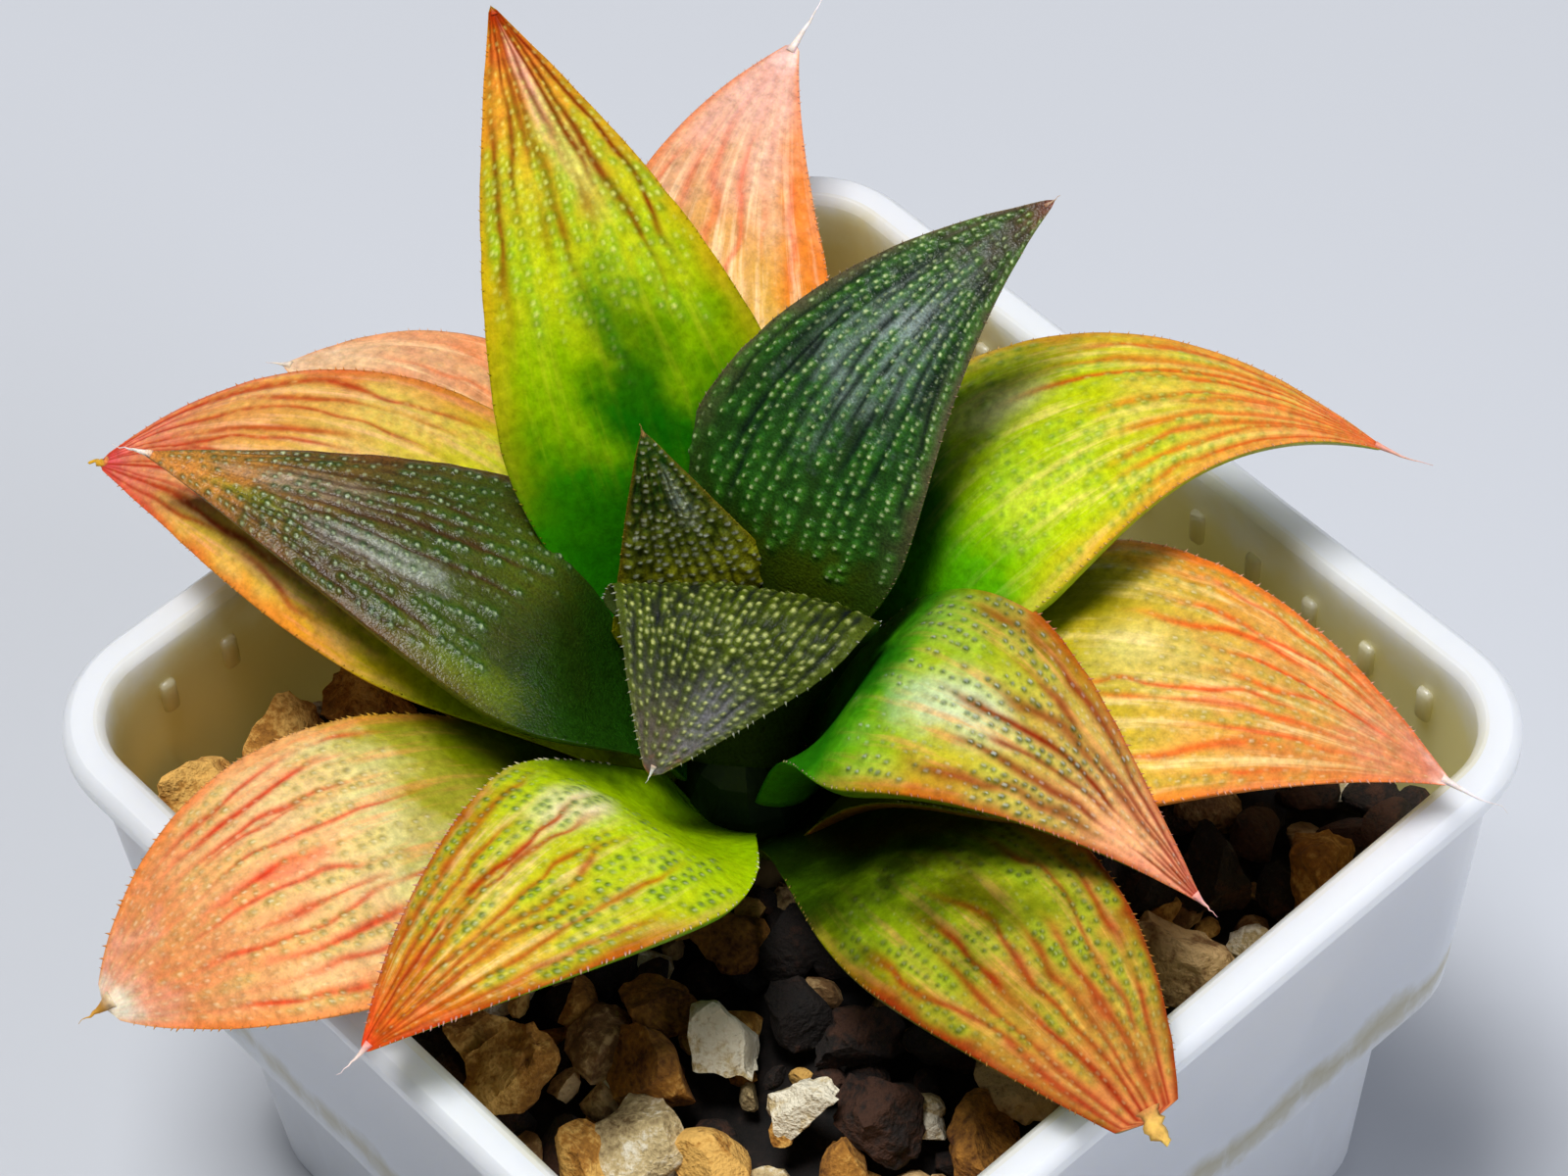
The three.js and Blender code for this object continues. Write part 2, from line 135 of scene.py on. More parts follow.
# ------------------------------------------------------------------ pot
# A square nursery pot, injection-moulded in one piece of thin white polypropylene. A rolled lip
# stiffens it, and a step in the wall lets pots nest. Watering has left a yellow stain inside and a
# brown tide mark round the wall outside. Inside, one wall is also browner low down.
CORNER_STEPS = 10
POT_RINGS = [  # half the width, corner radius and height, from under the base over the lip inside
    (26.8, 4.0, 0.8), (27.4, 4.4, 0.8), (28.0, 4.6, 0.0), (29.5, 5.5, 0.0), (30.5, 6.5, 1.0),
    (31.8, 7.0, 23.0), (32.2, 7.1, 23.5), (34.5, 7.4, 25.7), (34.8, 7.5, 26.3), (36.0, 7.3, 51.1),
    (37.1, 8.5, 51.4), (37.5, 8.8, 52.1), (37.5, 8.8, 53.2), (36.8, 8.2, 54.0), (35.0, 6.3, 54.0),
    (34.5, 5.8, 53.4), (33.3, 6.0, 26.0), (30.3, 5.5, 23.0), (29.0, 5.0, 2.0),
]
DRAIN_HOLES = 8
DRAIN_RADIUS = 2.5
DRAIN_CIRCLE = 18.0  # how far the drain holes lie from the middle of the base
RIB_SIZE = (1.3, 0.9, 3.2)
RIB_SPACING = 5.4
RIB_PLACE = (-34.25, 48.6)  # where a rib's middle lies in the front wall: its distance and height
SHARP_EDGE = math.radians(28)


def add_node(tree, kind, feeds=None, output=0, stops=(), **settings):
    """Adds a node with its settings, its inputs and its colour stops, and returns an output."""
    node = tree.nodes.new("ShaderNode" + kind)
    for name, value in settings.items():
        setattr(node, name, value)
    feed(tree, node, feeds or {})
    if stops:
        ramp = node.color_ramp
        while len(ramp.elements) < len(stops):
            ramp.elements.new(0.5)
        for element, (place, colour) in zip(ramp.elements, stops):
            element.position = place
            element.color = linear(colour) if isinstance(colour, str) else (*[colour] * 3, 1.0)
    return node.outputs[output]


def rounded_square(half, corner, height):
    """Points round a square with round corners, in metres."""
    points = []
    reach = (half - corner) * math.sqrt(2)
    for side in range(4):
        middle = math.radians(90 * side + 45)
        for step in range(CORNER_STEPS + 1):
            turn = math.radians(90 * (side + step / CORNER_STEPS))
            points.append(Vector((
                reach * math.cos(middle) + corner * math.cos(turn),
                reach * math.sin(middle) + corner * math.sin(turn), height)) * MM)
    return points


def draw_up(name, rings):
    """A closed shell drawn up from a filled ring through the others, and filled at the last."""
    bpy.ops.object.select_all(action="DESELECT")
    bpy.ops.mesh.primitive_circle_add(vertices=4 * (CORNER_STEPS + 1), fill_type="NGON")
    shell = bpy.context.active_object
    shell.name = name
    before = rounded_square(*rings[0])
    for vertex, point in zip(shell.data.vertices, before):
        vertex.co = point
    bpy.ops.object.mode_set(mode="EDIT")
    for ring in rings[1:]:
        bpy.ops.mesh.extrude_edges_move()
        bpy.ops.object.mode_set(mode="OBJECT")
        after = rounded_square(*ring)
        for vertex in shell.data.vertices:
            if vertex.select:
                nearest = min(range(len(before)), key=lambda i: (before[i] - vertex.co).length)
                vertex.co = after[nearest]
        before = after
        bpy.ops.object.mode_set(mode="EDIT")
    bpy.ops.mesh.edge_face_add()
    bpy.ops.mesh.select_all(action="SELECT")
    bpy.ops.mesh.normals_make_consistent(inside=False)
    bpy.ops.object.mode_set(mode="OBJECT")
    return shell


def select_only(*pieces):
    """Selects these pieces alone, and makes the first of them active."""
    bpy.ops.object.select_all(action="DESELECT")
    for piece in pieces:
        piece.select_set(True)
    bpy.context.view_layer.objects.active = pieces[0]


def combine(piece, tool, operation):
    """Cuts a tool out of a piece, or joins it on, and removes the tool."""
    modifier = piece.modifiers.new("combine", "BOOLEAN")
    modifier.operation = operation
    modifier.object = tool
    modifier.solver = "EXACT"
    select_only(piece)
    bpy.ops.object.modifier_apply(modifier=modifier.name)
    bpy.data.objects.remove(tool)


def soften_edges(piece, width):
    """Rounds a piece's sharp edges, to a width in millimetres."""
    modifier = piece.modifiers.new("soften", "BEVEL")
    modifier.width = width * MM
    modifier.segments = 3
    modifier.limit_method = "ANGLE"
    modifier.angle_limit = SHARP_EDGE
    select_only(piece)
    bpy.ops.object.modifier_apply(modifier=modifier.name)


pot = draw_up("nursery_pot", POT_RINGS)
bpy.ops.object.select_all(action="DESELECT")
for number in range(DRAIN_HOLES):
    turn = math.radians(360 / DRAIN_HOLES * number)
    bpy.ops.mesh.primitive_cylinder_add(
        vertices=24, radius=DRAIN_RADIUS * MM, depth=8.0 * MM,
        location=(DRAIN_CIRCLE * MM * math.cos(turn), DRAIN_CIRCLE * MM * math.sin(turn), 0.0))
    combine(pot, bpy.context.active_object, "DIFFERENCE")
soften_edges(pot, 0.3)

# Short ribs moulded inside under the lip, eleven to a side, keep nested pots apart.
bpy.ops.object.select_all(action="DESELECT")
bpy.ops.mesh.primitive_cube_add(size=1.0)
rib = bpy.context.active_object
rib.scale = Vector(RIB_SIZE) * MM
bpy.ops.object.transform_apply(location=False, rotation=False, scale=True)
soften_edges(rib, 0.4)
ribs = []
for side in range(4):
    for step in range(-5, 6):
        copy = rib.copy()
        copy.data = rib.data.copy()
        bpy.context.scene.collection.objects.link(copy)
        copy.data.transform(
            Matrix.Rotation(math.radians(90 * side), 4, "Z")
            @ Matrix.Translation(Vector((RIB_SPACING * step, *RIB_PLACE)) * MM))
        ribs.append(copy)
bpy.data.objects.remove(rib)
select_only(*ribs)
bpy.ops.object.join()
combine(pot, ribs[0], "UNION")
bpy.ops.object.shade_smooth_by_angle(angle=math.radians(32))

# Polypropylene gives a soft, bright sheen with no sharp mirror image, and light sinks into it, so
# that the thin wall glows a little where it is lit from the other side.
CORNER_START = 28.5 * MM  # how far out on a wall its round corner starts
polypropylene, tree, shader = new_material("stained_white_polypropylene")
where = add_node(tree, "TexCoord", output="Object")
sideways = add_node(tree, "SeparateXYZ", {0: where}, "X")
height = add_node(tree, "SeparateXYZ", {0: where}, "Z")
blotch = add_node(tree, "TexNoise", {  # blotches of 11 mm
    "Vector": where, "Scale": 90.0, "Detail": 6.0, "Roughness": 0.6})
drawn_down = add_node(tree, "Mapping", {"Vector": where, "Scale": (1.0, 1.0, 0.25)})
streak = add_node(tree, "TexNoise", {  # streaks 4 mm wide and 15 mm long
    "Vector": drawn_down, "Scale": 260.0, "Detail": 5.0, "Roughness": 0.65})
ripple = add_node(tree, "TexNoise", {  # the mould's own slow waves, 22 mm across
    "Vector": where, "Scale": 45.0, "Detail": 2.0})
# The distance from the pot's axis to a point, measured square to the wall or round its corner.
reach = where
for operation, other in (
        ("MULTIPLY", (1.0, 1.0, 0.0)), ("ABSOLUTE", (0.0, 0.0, 0.0)),
        ("SUBTRACT", (CORNER_START, CORNER_START, 0.0)), ("MAXIMUM", (0.0, 0.0, 0.0))):
    reach = add_node(tree, "VectorMath", {0: reach, 1: other}, operation=operation)
reach = add_node(tree, "VectorMath", {0: reach}, "Value", operation="LENGTH")
reach = add_node(tree, "Math", {0: reach, 1: CORNER_START})
# The wall's middle lies at this distance from the axis: nearer than it is the inside of the pot.
middle_of_wall = add_node(tree, "MapRange", {
    "Value": height, "From Min": 26 * MM, "From Max": 52 * MM,
    "To Min": 34.0 * MM, "To Max": 35.3 * MM})
inside = add_node(tree, "Math", {0: reach, 1: middle_of_wall}, operation="LESS_THAN")
above_step = add_node(tree, "Math", {0: height, 1: 27 * MM}, operation="GREATER_THAN")
inside = add_node(tree, "Math", {0: inside, 1: above_step}, operation="MULTIPLY")
# Each mark comes in gradually between two heights, which the blotches raise or lower.
damp = add_node(tree, "Math", {0: blotch, 1: 0.012, 2: height}, operation="MULTIPLY_ADD")
stain, lower_brown_tint, tide = (
    add_node(tree, "MapRange", {
        "Value": damp, "From Min": top * MM, "From Max": bottom * MM}, interpolation_type="SMOOTHSTEP")
    for top, bottom in ((63.0, 54.0), (61.0, 53.0), (40.0, 32.5)))
# The inside of the wall grows browner low down towards negative X.
browner_side = add_node(tree, "MapRange", {
    "Value": sideways, "From Min": 5.0 * MM, "From Max": -25.0 * MM, "To Max": 0.32})
tide_mark = add_node(tree, "ValToRGB", {0: tide}, stops=[
    (0.0, 0.0), (0.15, 0.0), (0.4, 0.4), (0.62, 0.65), (0.86, 0.5), (1.0, 0.06)])
patchy = add_node(tree, "MapRange", {
    "Value": streak, "From Min": 0.25, "From Max": 0.5}, interpolation_type="SMOOTHSTEP")
white = add_node(tree, "Mix", {0: blotch, 6: linear("#e4e8ea"), 7: linear("#eceff0")},
                 output=2, data_type="RGBA")
for colour, cover, limits in (
        ("#dcd09a", stain, [inside]), ("#b08c44", lower_brown_tint, [browner_side, inside]),
        ("#9c8828", tide_mark, [patchy])):
    for limit in limits:
        cover = add_node(tree, "Math", {0: cover, 1: limit}, operation="MULTIPLY")
    white = add_node(tree, "Mix", {0: cover, 6: white, 7: linear(colour)},
                     output=2, data_type="RGBA")
rough = add_node(tree, "MapRange", {"Value": streak, "To Min": 0.3, "To Max": 0.34})
bump = add_node(tree, "Bump", {"Height": ripple, "Strength": 0.15, "Distance": 0.8 * MM})
feed(tree, shader, {
    "Base Color": white, "Roughness": rough, "Normal": bump, "IOR": 1.49, "Subsurface Weight": 0.9,
    "Subsurface Radius": (1.0, 0.95, 0.8), "Subsurface Scale": 6.0 * MM})
pot.data.materials.clear()
pot.data.materials.append(polypropylene)
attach(pot, "root")
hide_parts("pot")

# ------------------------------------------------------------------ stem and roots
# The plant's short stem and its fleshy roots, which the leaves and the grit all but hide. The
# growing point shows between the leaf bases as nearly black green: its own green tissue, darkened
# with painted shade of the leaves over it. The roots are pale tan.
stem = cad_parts["stem_with_roots"]
stem_tissue, tree, shader = new_material("stem_tissue")
where = add_node(tree, "TexCoord", output="Object")
height = add_node(tree, "SeparateXYZ", {0: where}, "Z")
drawn_up = add_node(tree, "Mapping", {"Vector": where, "Scale": (1.0, 1.0, 0.2)})
fibre = add_node(tree, "TexNoise", {  # fibres 1.1 mm wide
    "Vector": drawn_up, "Scale": 900.0, "Detail": 4.0})
uneven_height = add_node(tree, "Math", {0: fibre, 1: 0.003, 2: height}, operation="MULTIPLY_ADD")
age_and_shade = add_node(tree, "MapRange", {
    "Value": uneven_height, "From Min": 34 * MM, "From Max": 50 * MM})
# Pale tan at the roots to dark green at the top, where painted shade darkens it further.
skin = add_node(tree, "ValToRGB", {0: age_and_shade}, stops=[
    (0.0, "#b79a6a"), (0.55, "#6f5a34"), (0.72, "#1c3a0c"), (1.0, "#0a2406")])
bump = add_node(tree, "Bump", {"Height": fibre, "Strength": 0.5, "Distance": 0.3 * MM})
feed(tree, shader, {"Base Color": skin, "Normal": bump, "Roughness": 0.55})
stem.data.materials.clear()
stem.data.materials.append(stem_tissue)

# ------------------------------------------------------------------ leaves
# Fourteen fleshy leaves, youngest first. Each is a thick blade with a swollen, rough face: rows of
# pale tubercles, clear windows in the skin round them, reddish veins between the rows, and fine
# hard teeth along both margins. The tip ends in a dry hair. Painted shadows darken the leaves
# where others lie over them, a painted sheen greys the dark ones, and a painted highlight sits on
# each tubercle.
STEM_AXIS = (-3.0, 0.5)  # in the rosette's own frame, millimetres from the middle of the rim
ROSETTE_TURN = math.radians(50.5)
GRID_PITCH = 0.15  # millimetres between the points of a blade's face, and less on a dark leaf
BACK_COLUMNS = 22
ROWS_REACH = 0.95  # how much of the half width the rows of tubercles take up
ROW_KNOTS = 14  # along a leaf, the places where its tubercles thicken or thin out
MISSING = 0.08  # the share of its tubercles that never grew
CLOSE_ROWS = 0.44  # millimetres between two rows: nearer than this every other one ends
WINDOW_LENGTH = 0.62
WINDOW_LIFT = 0.07  # how high a window bulges and how deep a vein is sunk, in millimetres
VEIN_DEPTH = 0.06
THICKEST = 0.35  # where along it a leaf is thickest

# The leaf's shape: azimuth, seat (reach and height), then the midrib's rise, arch and tip, width,
# thick, where it is widest, taper and blunt (the form of its point), its roll in degrees at seat and
# tip, and where its blade ends. Lengths are in millimetres, places along it run from 0 to 1, and
# places across it from -1 to 1.
# Its tubercles: pitch, the millimetres between two in a row; size, their radius and height; rough,
# where they start; clump, how far they gather in patches; bead, the colour of their pale caps,
# which sit off their middles as a painted highlight, and its strength; ring, the dark dot that each
# stands in; window, the clear skin round them. The last two are a colour and its strength too. A dark
# leaf has one row of tubercles between two veins, any other has two.
# Its veins: their number, which also sets the rows, colour, strength, start and breadth.
# Its colours: skin, from seat to tip, darker near the seat, partly its own colour and partly painted
# shade of the leaves over it; streak, pale lines under the veins; edge, the margin's colour, its
# strength and how far out it starts; patches, under the veins and beads, among them painted sheen
# on the dark leaves, and painted shadow and painted light on two others; and the painted shadows,
# over them: colour, place along and across, reach along and across, strength; under, the back.
# Its finish: gloss, the strength of its shine; grain, how coarse its skin is; teeth, their size, and
# tooth_tone, how dry and pale they are.
# hair, at the tip: length, droop, radius and flatness, and withered, its colour.
LEAVES = [
    dict(node="leaf_01_heart_front", azimuth=-102, seat=(1.4, -4), rise=(-2, 7, 5),
         arch=(-0.5, 3.4, 16.5), tip=(-9.4, -7.6, 4), width=19, thick=3, widest=0.5, taper=1.9,
         blunt=0.9, pitch=0.66, size=(0.24, 0.34), rough=0.26, clump=0.1, slot="leaf_dark",
         gloss=0.08, grain=1.2,
         skin=[(0, "#242f06"), (0.3, "#283406"), (0.55, "#1e2808"), (0.75, "#24281a"), (0.88, "#44423e"),
               (0.98, "#645850"), (1, "#9c5434")],
         streak=("#20241e", 0.6), edge=("#6a7a1c", 0.4, 0.9), bead_and_glint=("#dce08c", 0.8),
         window=("#4c5c08", 0.5), ring=("#546410", 0.65), veins=(24, "#10121c", 0.95, 0.2, 0.75),
         # Its grey patch near the tip is painted sheen.
         patches=[("#8c8890", 0.9, 0.5, 0.12, 0.5, 0.7)], under="#2f3d18", hair=(1.4, 0.2, 0.25, 1),
         withered="#e4dcd0", teeth=0.36, tooth_tone=0.6),
    dict(node="leaf_02_heart_back", azimuth=100, seat=(3.6, -3), rise=(-5, 7, 3), arch=(-7, 7, 14),
         tip=(-8, 7.5, 22), width=12.5, thick=3, widest=0.35, taper=1, blunt=1, pitch=0.8,
         size=(0.3, 0.34), rough=0.2, clump=0.1, slot="leaf_dark", gloss=0.1, grain=1.4,
         skin=[(0, "#8c8408"), (0.45, "#94900c"), (0.58, "#4c580c"), (0.72, "#1c3c10"), (0.9, "#0c4408"),
               (1, "#2c5c20")],
         streak=("#0c180a", 0.6), edge=("#8c6a10", 0.5, 0.92), bead_and_glint=("#f8fce8", 1.0),
         window=("#56681c", 0.5), ring=("#6c7018", 0.6), veins=(11, "#0a1408", 0.9, 0.15, 0.8),
         # Its pale grey patch is painted sheen.
         patches=[("#c4d0cc", 0.76, -0.35, 0.14, 0.3, 0.5)], under="#2c3a10", hair=(1.2, 0.0, 0.2, 1),
         withered="#a88048", teeth=0.26, tooth_tone=0.3),
    dict(node="leaf_03_dark_right", azimuth=52, seat=(3, -3.5), rise=(-2.6, 5, 7), arch=(2.2, 13.6, 20),
         tip=(20.3, 19.7, 28), width=18.2, thick=4.5, widest=0.45, taper=1.85, pitch=0.78,
         size=(0.22, 0.24), rough=0.3, clump=0.3, slot="leaf_dark", gloss=0.2, grain=1.4,
         skin=[(0, "#3a4a04"), (0.3, "#2c4006"), (0.45, "#1c360a"), (0.6, "#1e4014"), (0.74, "#2c3c2c"),
               (0.86, "#3c3a2e"), (0.95, "#4c3c2e"), (1, "#7a3e2c")],
         streak=("#1c2c10", 0.7), edge=("#5c5038", 0.75, 0.84), bead_and_glint=("#dcecb0", 1.0),
         window=("#2a741c", 0.5), ring=("#3c6c14", 0.7), veins=(14, "#0a1612", 0.95, 0.35, 0.9),
         # Its pale blue-grey patch is painted sheen; the olive one is its own colour.
         patches=[("#a0b0ac", 0.74, 0.0, 0.18, 0.7, 0.62), ("#4c5c08", 0.34, -0.3, 0.12, 0.5, 0.6)],
         under="#1f4a0c", hair=(1.2, 0.1, 0.2, 1), withered="#b08c70", teeth=0.3, tooth_tone=0.4),
    dict(node="leaf_04_dark_left", azimuth=163, seat=(3, -4), rise=(-10, 3, 6), arch=(-25, 8, 14),
         tip=(-42.5, 17, 12), width=19, thick=5.5, widest=0.42, pitch=0.8, size=(0.21, 0.22),
         rough=0.34, clump=0.3, slot="leaf_dark", gloss=0.3, grain=1.4,
         skin=[(0, "#0c3c02"), (0.3, "#1c3c06"), (0.42, "#28380a"), (0.55, "#3c440e"), (0.7, "#584a1e"),
               (0.82, "#845828"), (0.92, "#c88434"), (1, "#d88444")],
         streak=("#44300c", 0.6), edge=("#5c3010", 0.6, 0.88), bead_and_glint=("#cfe0b0", 0.72),
         window=("#34601c", 0.5), ring=("#14380c", 0.9), veins=(13, "#3c1e10", 0.85, 0.38, 0.9),
         # Its first patch, pale grey, is painted sheen.
         patches=[("#c8ccc0", 0.67, 0.32, 0.14, 0.2, 0.55), ("#d4bca0", 0.79, -0.2, 0.12, 0.3, 0.5),
                  ("#70780c", 0.46, -0.2, 0.1, 0.6, 0.25), ("#98a00c", 0.84, 0.35, 0.08, 0.22, 0.7),
                  ("#6c7c08", 0.5, 0.85, 0.14, 0.25, 0.6)],
         under="#3f5c0c", hair=(3.2, -0.1, 0.3, 1), withered="#f0e8dc", teeth=0.2, tooth_tone=0.2),
    dict(node="leaf_05_front_right", azimuth=-35, seat=(3, -5), rise=(4, 1, 10), arch=(13.5, -8, 14),
         tip=(26.2, -20, 3), width=19.4, thick=5.5, widest=0.45, pitch=0.8,
         size=(0.18, 0.16), rough=0.36, clump=0.45, slot="leaf_green",
         skin=[(0, "#1c5c04"), (0.2, "#28780a"), (0.33, "#247008"), (0.42, "#4c940c"), (0.52, "#98b010"),
               (0.64, "#bcac28"), (0.78, "#d4a858"), (0.9, "#fcb080"), (1, "#fc8c78")],
         streak=("#e89c5c", 0.6), edge=("#a8400c", 0.85, 0.84), bead_and_glint=("#f4f8ee", 0.7),
         window=("#b0c854", 0.5), ring=("#14380c", 0.95), veins=(7, "#841c08", 1.0, 0.4, 1.5),
         patches=[("#8c500c", 0.56, 0.85, 0.16, 0.4, 0.8), ("#e0ecdc", 0.58, -0.15, 0.13, 0.4, 0.6)],
         # Its shade is a painted shadow of leaves 01 and 02 over its seat.
         painted_shadows=[("#186008", 0.36, 0.05, 0.1, 0.6, 0.8)], under="#3f7a0c", hair=(2.2, 0.2, 0.35, 1),
         withered="#f8b0a8", teeth=0.36, tooth_tone=0.4),
    dict(node="leaf_06_tall_back", azimuth=109, seat=(3.4, -5), rise=(-5, 8, 8), arch=(-11.5, 24, 24),
         tip=(-16.8, 42, 27), width=20, thick=5.5, widest=0.45, pitch=0.85,
         size=(0.27, 0.24), rough=0.5, clump=0.35, slot="leaf_green",
         skin=[(0, "#0a5002"), (0.3, "#1c6802"), (0.42, "#2c7802"), (0.54, "#80a402"), (0.66, "#b8bc10"),
               (0.78, "#ccac24"), (0.9, "#d8742c"), (1, "#c43410")],
         streak=("#d8d02c", 0.25), edge=("#c08410", 0.6, 0.84), bead_and_glint=("#f0f084", 0.7),
         window=("#94bc24", 0.6), ring=("#48800c", 0.45), veins=(8, "#7c2404", 1.0, 0.5, 1.35),
         # Its shade is a painted shadow of leaf 02's tip.
         painted_shadows=[("#0c5402", 0.48, 0.0, 0.19, 0.42, 0.9)],
         patches=[("#f8b8a0", 0.89, -0.1, 0.13, 0.28, 0.85), ("#e4d478", 0.78, -0.25, 0.1, 0.3, 0.6)],
         under="#6f9c0c", hair=(0.8, 0.0, 0.25, 1), withered="#c05a30", teeth=0.3, tooth_tone=0.4),
    dict(node="leaf_07_right", azimuth=15, seat=(3.6, -6), rise=(6, 7, 6), arch=(22, 18, 20.5),
         tip=(42, 11.5, 9), width=21, thick=6, widest=0.45, pitch=1.0, size=(0.2, 0.12),
         rough=0.42, clump=0.4, slot="leaf_green",
         skin=[(0, "#0c5a02"), (0.25, "#1c7a02"), (0.4, "#58a404"), (0.5, "#a0c004"), (0.64, "#b4bc08"),
               (0.76, "#d4b840"), (0.88, "#dc9448"), (1, "#e07460")],
         streak=("#f4d878", 0.6), edge=("#d8802c", 0.7, 0.84), bead_and_glint=("#f0f48c", 0.6),
         window=("#a8c430", 0.6), ring=("#48781c", 0.6), veins=(10, "#cc5414", 0.95, 0.5, 1.2),
         # Its dark green patch is a painted shadow of leaf 03.
         patches=[("#0c5c02", 0.38, 0.4, 0.1, 0.5, 0.95), ("#f2f29c", 0.54, 0.42, 0.08, 0.22, 0.9),
                  ("#dce43c", 0.53, -0.4, 0.08, 0.22, 0.6)],
         under="#8fb814", hair=(4.5, 0.25, 0.22, 1), withered="#f0b0a0", teeth=0.3, tooth_tone=0.5),
    dict(node="leaf_08_front_left", azimuth=-133, seat=(3.6, -7), rise=(-7, -10, 5.5),
         arch=(-18, -18.6, 10.5), tip=(-28.3, -28.2, 5.5), width=18.6, thick=4.6, widest=0.42,
         taper=1.6, blunt=0.95, pitch=0.9, size=(0.19, 0.14), rough=0.32, clump=0.45,
         slot="leaf_green",
         skin=[(0, "#6ca402"), (0.15, "#98c002"), (0.3, "#a4c804"), (0.45, "#b4c410"), (0.6, "#c0b820"),
               (0.75, "#d4a838"), (0.86, "#c46c18"), (0.94, "#e45024"), (1, "#e83028")],
         streak=("#f8cc90", 0.6), edge=("#a8340c", 0.85, 0.86), bead_and_glint=("#f4f8c0", 0.6),
         window=("#a0c020", 0.75), ring=("#285010", 0.9), veins=(9, "#a8340c", 1.0, 0.33, 1.1),
         # Its shade is a painted shadow of leaves 01 and 04 near its seat.
         painted_shadows=[("#143402", 0.24, -0.95, 0.2, 0.5, 0.9)],
         patches=[("#f8e0c0", 0.46, -0.35, 0.13, 0.28, 0.85)],
         under="#68b80c", hair=(3.0, 0.3, 0.3, 1), withered="#f8d8cc", teeth=0.4, tooth_tone=0.6),
    dict(node="leaf_09_low_right", azimuth=-14, seat=(4, -8.5), rise=(10, 2, 3), arch=(27, -3.2, 11),
         tip=(43.5, -12, 3), width=23.4, thick=6, widest=0.5, taper=1.7, pitch=1.0,
         size=(0.2, 0.1), rough=0.45, clump=0.55, slot="leaf_sunned",
         skin=[(0, "#5a6402"), (0.35, "#807c04"), (0.5, "#a89c04"), (0.6, "#ccac34"), (0.72, "#d89c4c"),
               (0.85, "#d08444"), (0.95, "#d08064"), (1, "#f0d0c0")],
         streak=("#fce09c", 0.6), edge=("#e86018", 0.7, 0.86), bead_and_glint=("#faf0c8", 0.65),
         window=("#bcac40", 0.65), ring=("#88782c", 0.6), veins=(10, "#dc4410", 0.95, 0.46, 0.95),
         patches=[("#e4dc8c", 0.6, 0.1, 0.1, 0.35, 0.5), ("#dc7814", 0.64, 0.85, 0.14, 0.3, 0.7)],
         # Its shade is a painted shadow of leaves 05 and 07 over its seat.
         painted_shadows=[("#6c6402", 0.46, 0.5, 0.15, 0.4, 0.85)],
         under="#cf8030", hair=(5.0, 0.2, 0.3, 1), withered="#f4e4dc", teeth=0.36, tooth_tone=0.4),
    dict(node="leaf_10_low_front", azimuth=-56, seat=(4, -8), rise=(4.6, -7.6, -2),
         arch=(13.8, -21.4, 7), tip=(22.3, -38, 2), width=18, thick=6, widest=0.55, taper=1.8,
         blunt=0.9, end=0.94, pitch=0.8, size=(0.18, 0.15), rough=0.38, clump=0.45,
         slot="leaf_green",
         # Its skin near the seat is its own green, painted near black as painted shadow of leaf 05.
         skin=[(0, "#0c1c02"), (0.2, "#142c02"), (0.34, "#3c5c04"), (0.46, "#88ac04"), (0.58, "#9cac10"),
               (0.7, "#a88c28"), (0.82, "#c07838"), (0.92, "#c87c44"), (1, "#cc7448")],
         streak=("#f0a860", 0.6), edge=("#8c300c", 1.0, 0.84), bead_and_glint=("#ecf0a8", 0.55),
         window=("#98b428", 0.8), ring=("#283c08", 0.9), veins=(8, "#981c0c", 1.0, 0.42, 1.25),
         patches=[("#c08030", 0.56, 0.9, 0.14, 0.3, 0.8)],
         # Its shades are painted shadows of leaf 05 and of the heart.
         painted_shadows=[("#142002", 0.3, -0.1, 0.4, 1.3, 0.95), ("#403c02", 0.54, 0.1, 0.12, 0.3, 0.8)],
         under="#5f7c08", hair=(2.8, 0.1, 0.9, 0.35),
         withered="#d8ac58", teeth=0.36, tooth_tone=0.4),
    dict(node="leaf_11_low_left", azimuth=-153, seat=(4, -8.5), rise=(-14, -5, -2),
         arch=(-28.6, -12.2, 9.6), tip=(-45.6, -21, 1.6), width=23.4, thick=5, widest=0.58,
         taper=2.4, blunt=0.8, pitch=0.9, size=(0.2, 0.12), rough=0.46, clump=0.5,
         slot="leaf_sunned",
         # Its dark olive seat is partly its own colour and partly painted shadow of leaf 04.
         skin=[(0, "#243c02"), (0.3, "#3c5402"), (0.42, "#6c7404"), (0.52, "#a09c2c"), (0.6, "#dcd08c"),
               (0.7, "#e4bc84"), (0.8, "#dca068"), (0.9, "#d48450"), (0.965, "#dc9c80"), (1, "#dcd4bc")],
         streak=("#f88c5c", 0.5), edge=("#e8741c", 0.6, 0.88), bead_and_glint=("#fcf4cc", 0.8),
         window=("#dcc46c", 0.7), ring=("#7c7028", 0.75), veins=(12, "#cc3014", 1.0, 0.46, 0.95),
         patches=[("#f03c38", 0.76, -0.05, 0.12, 0.12, 0.6)], under="#7a2c18", hair=(2.8, 0.3, 0.75, 1),
         withered="#c08c3c", teeth=0.4, tooth_tone=0.6),
    dict(node="leaf_12_left", azimuth=155, seat=(4, -8), rise=(-15, 8.8, 0), arch=(-29.4, 18.6, 12.5),
         tip=(-46.6, 22.2, 4.6), width=24, thick=4.5, widest=0.5, taper=2.1, blunt=0.95,
         pitch=0.9, size=(0.2, 0.12), rough=0.42, clump=0.45, slot="leaf_green",
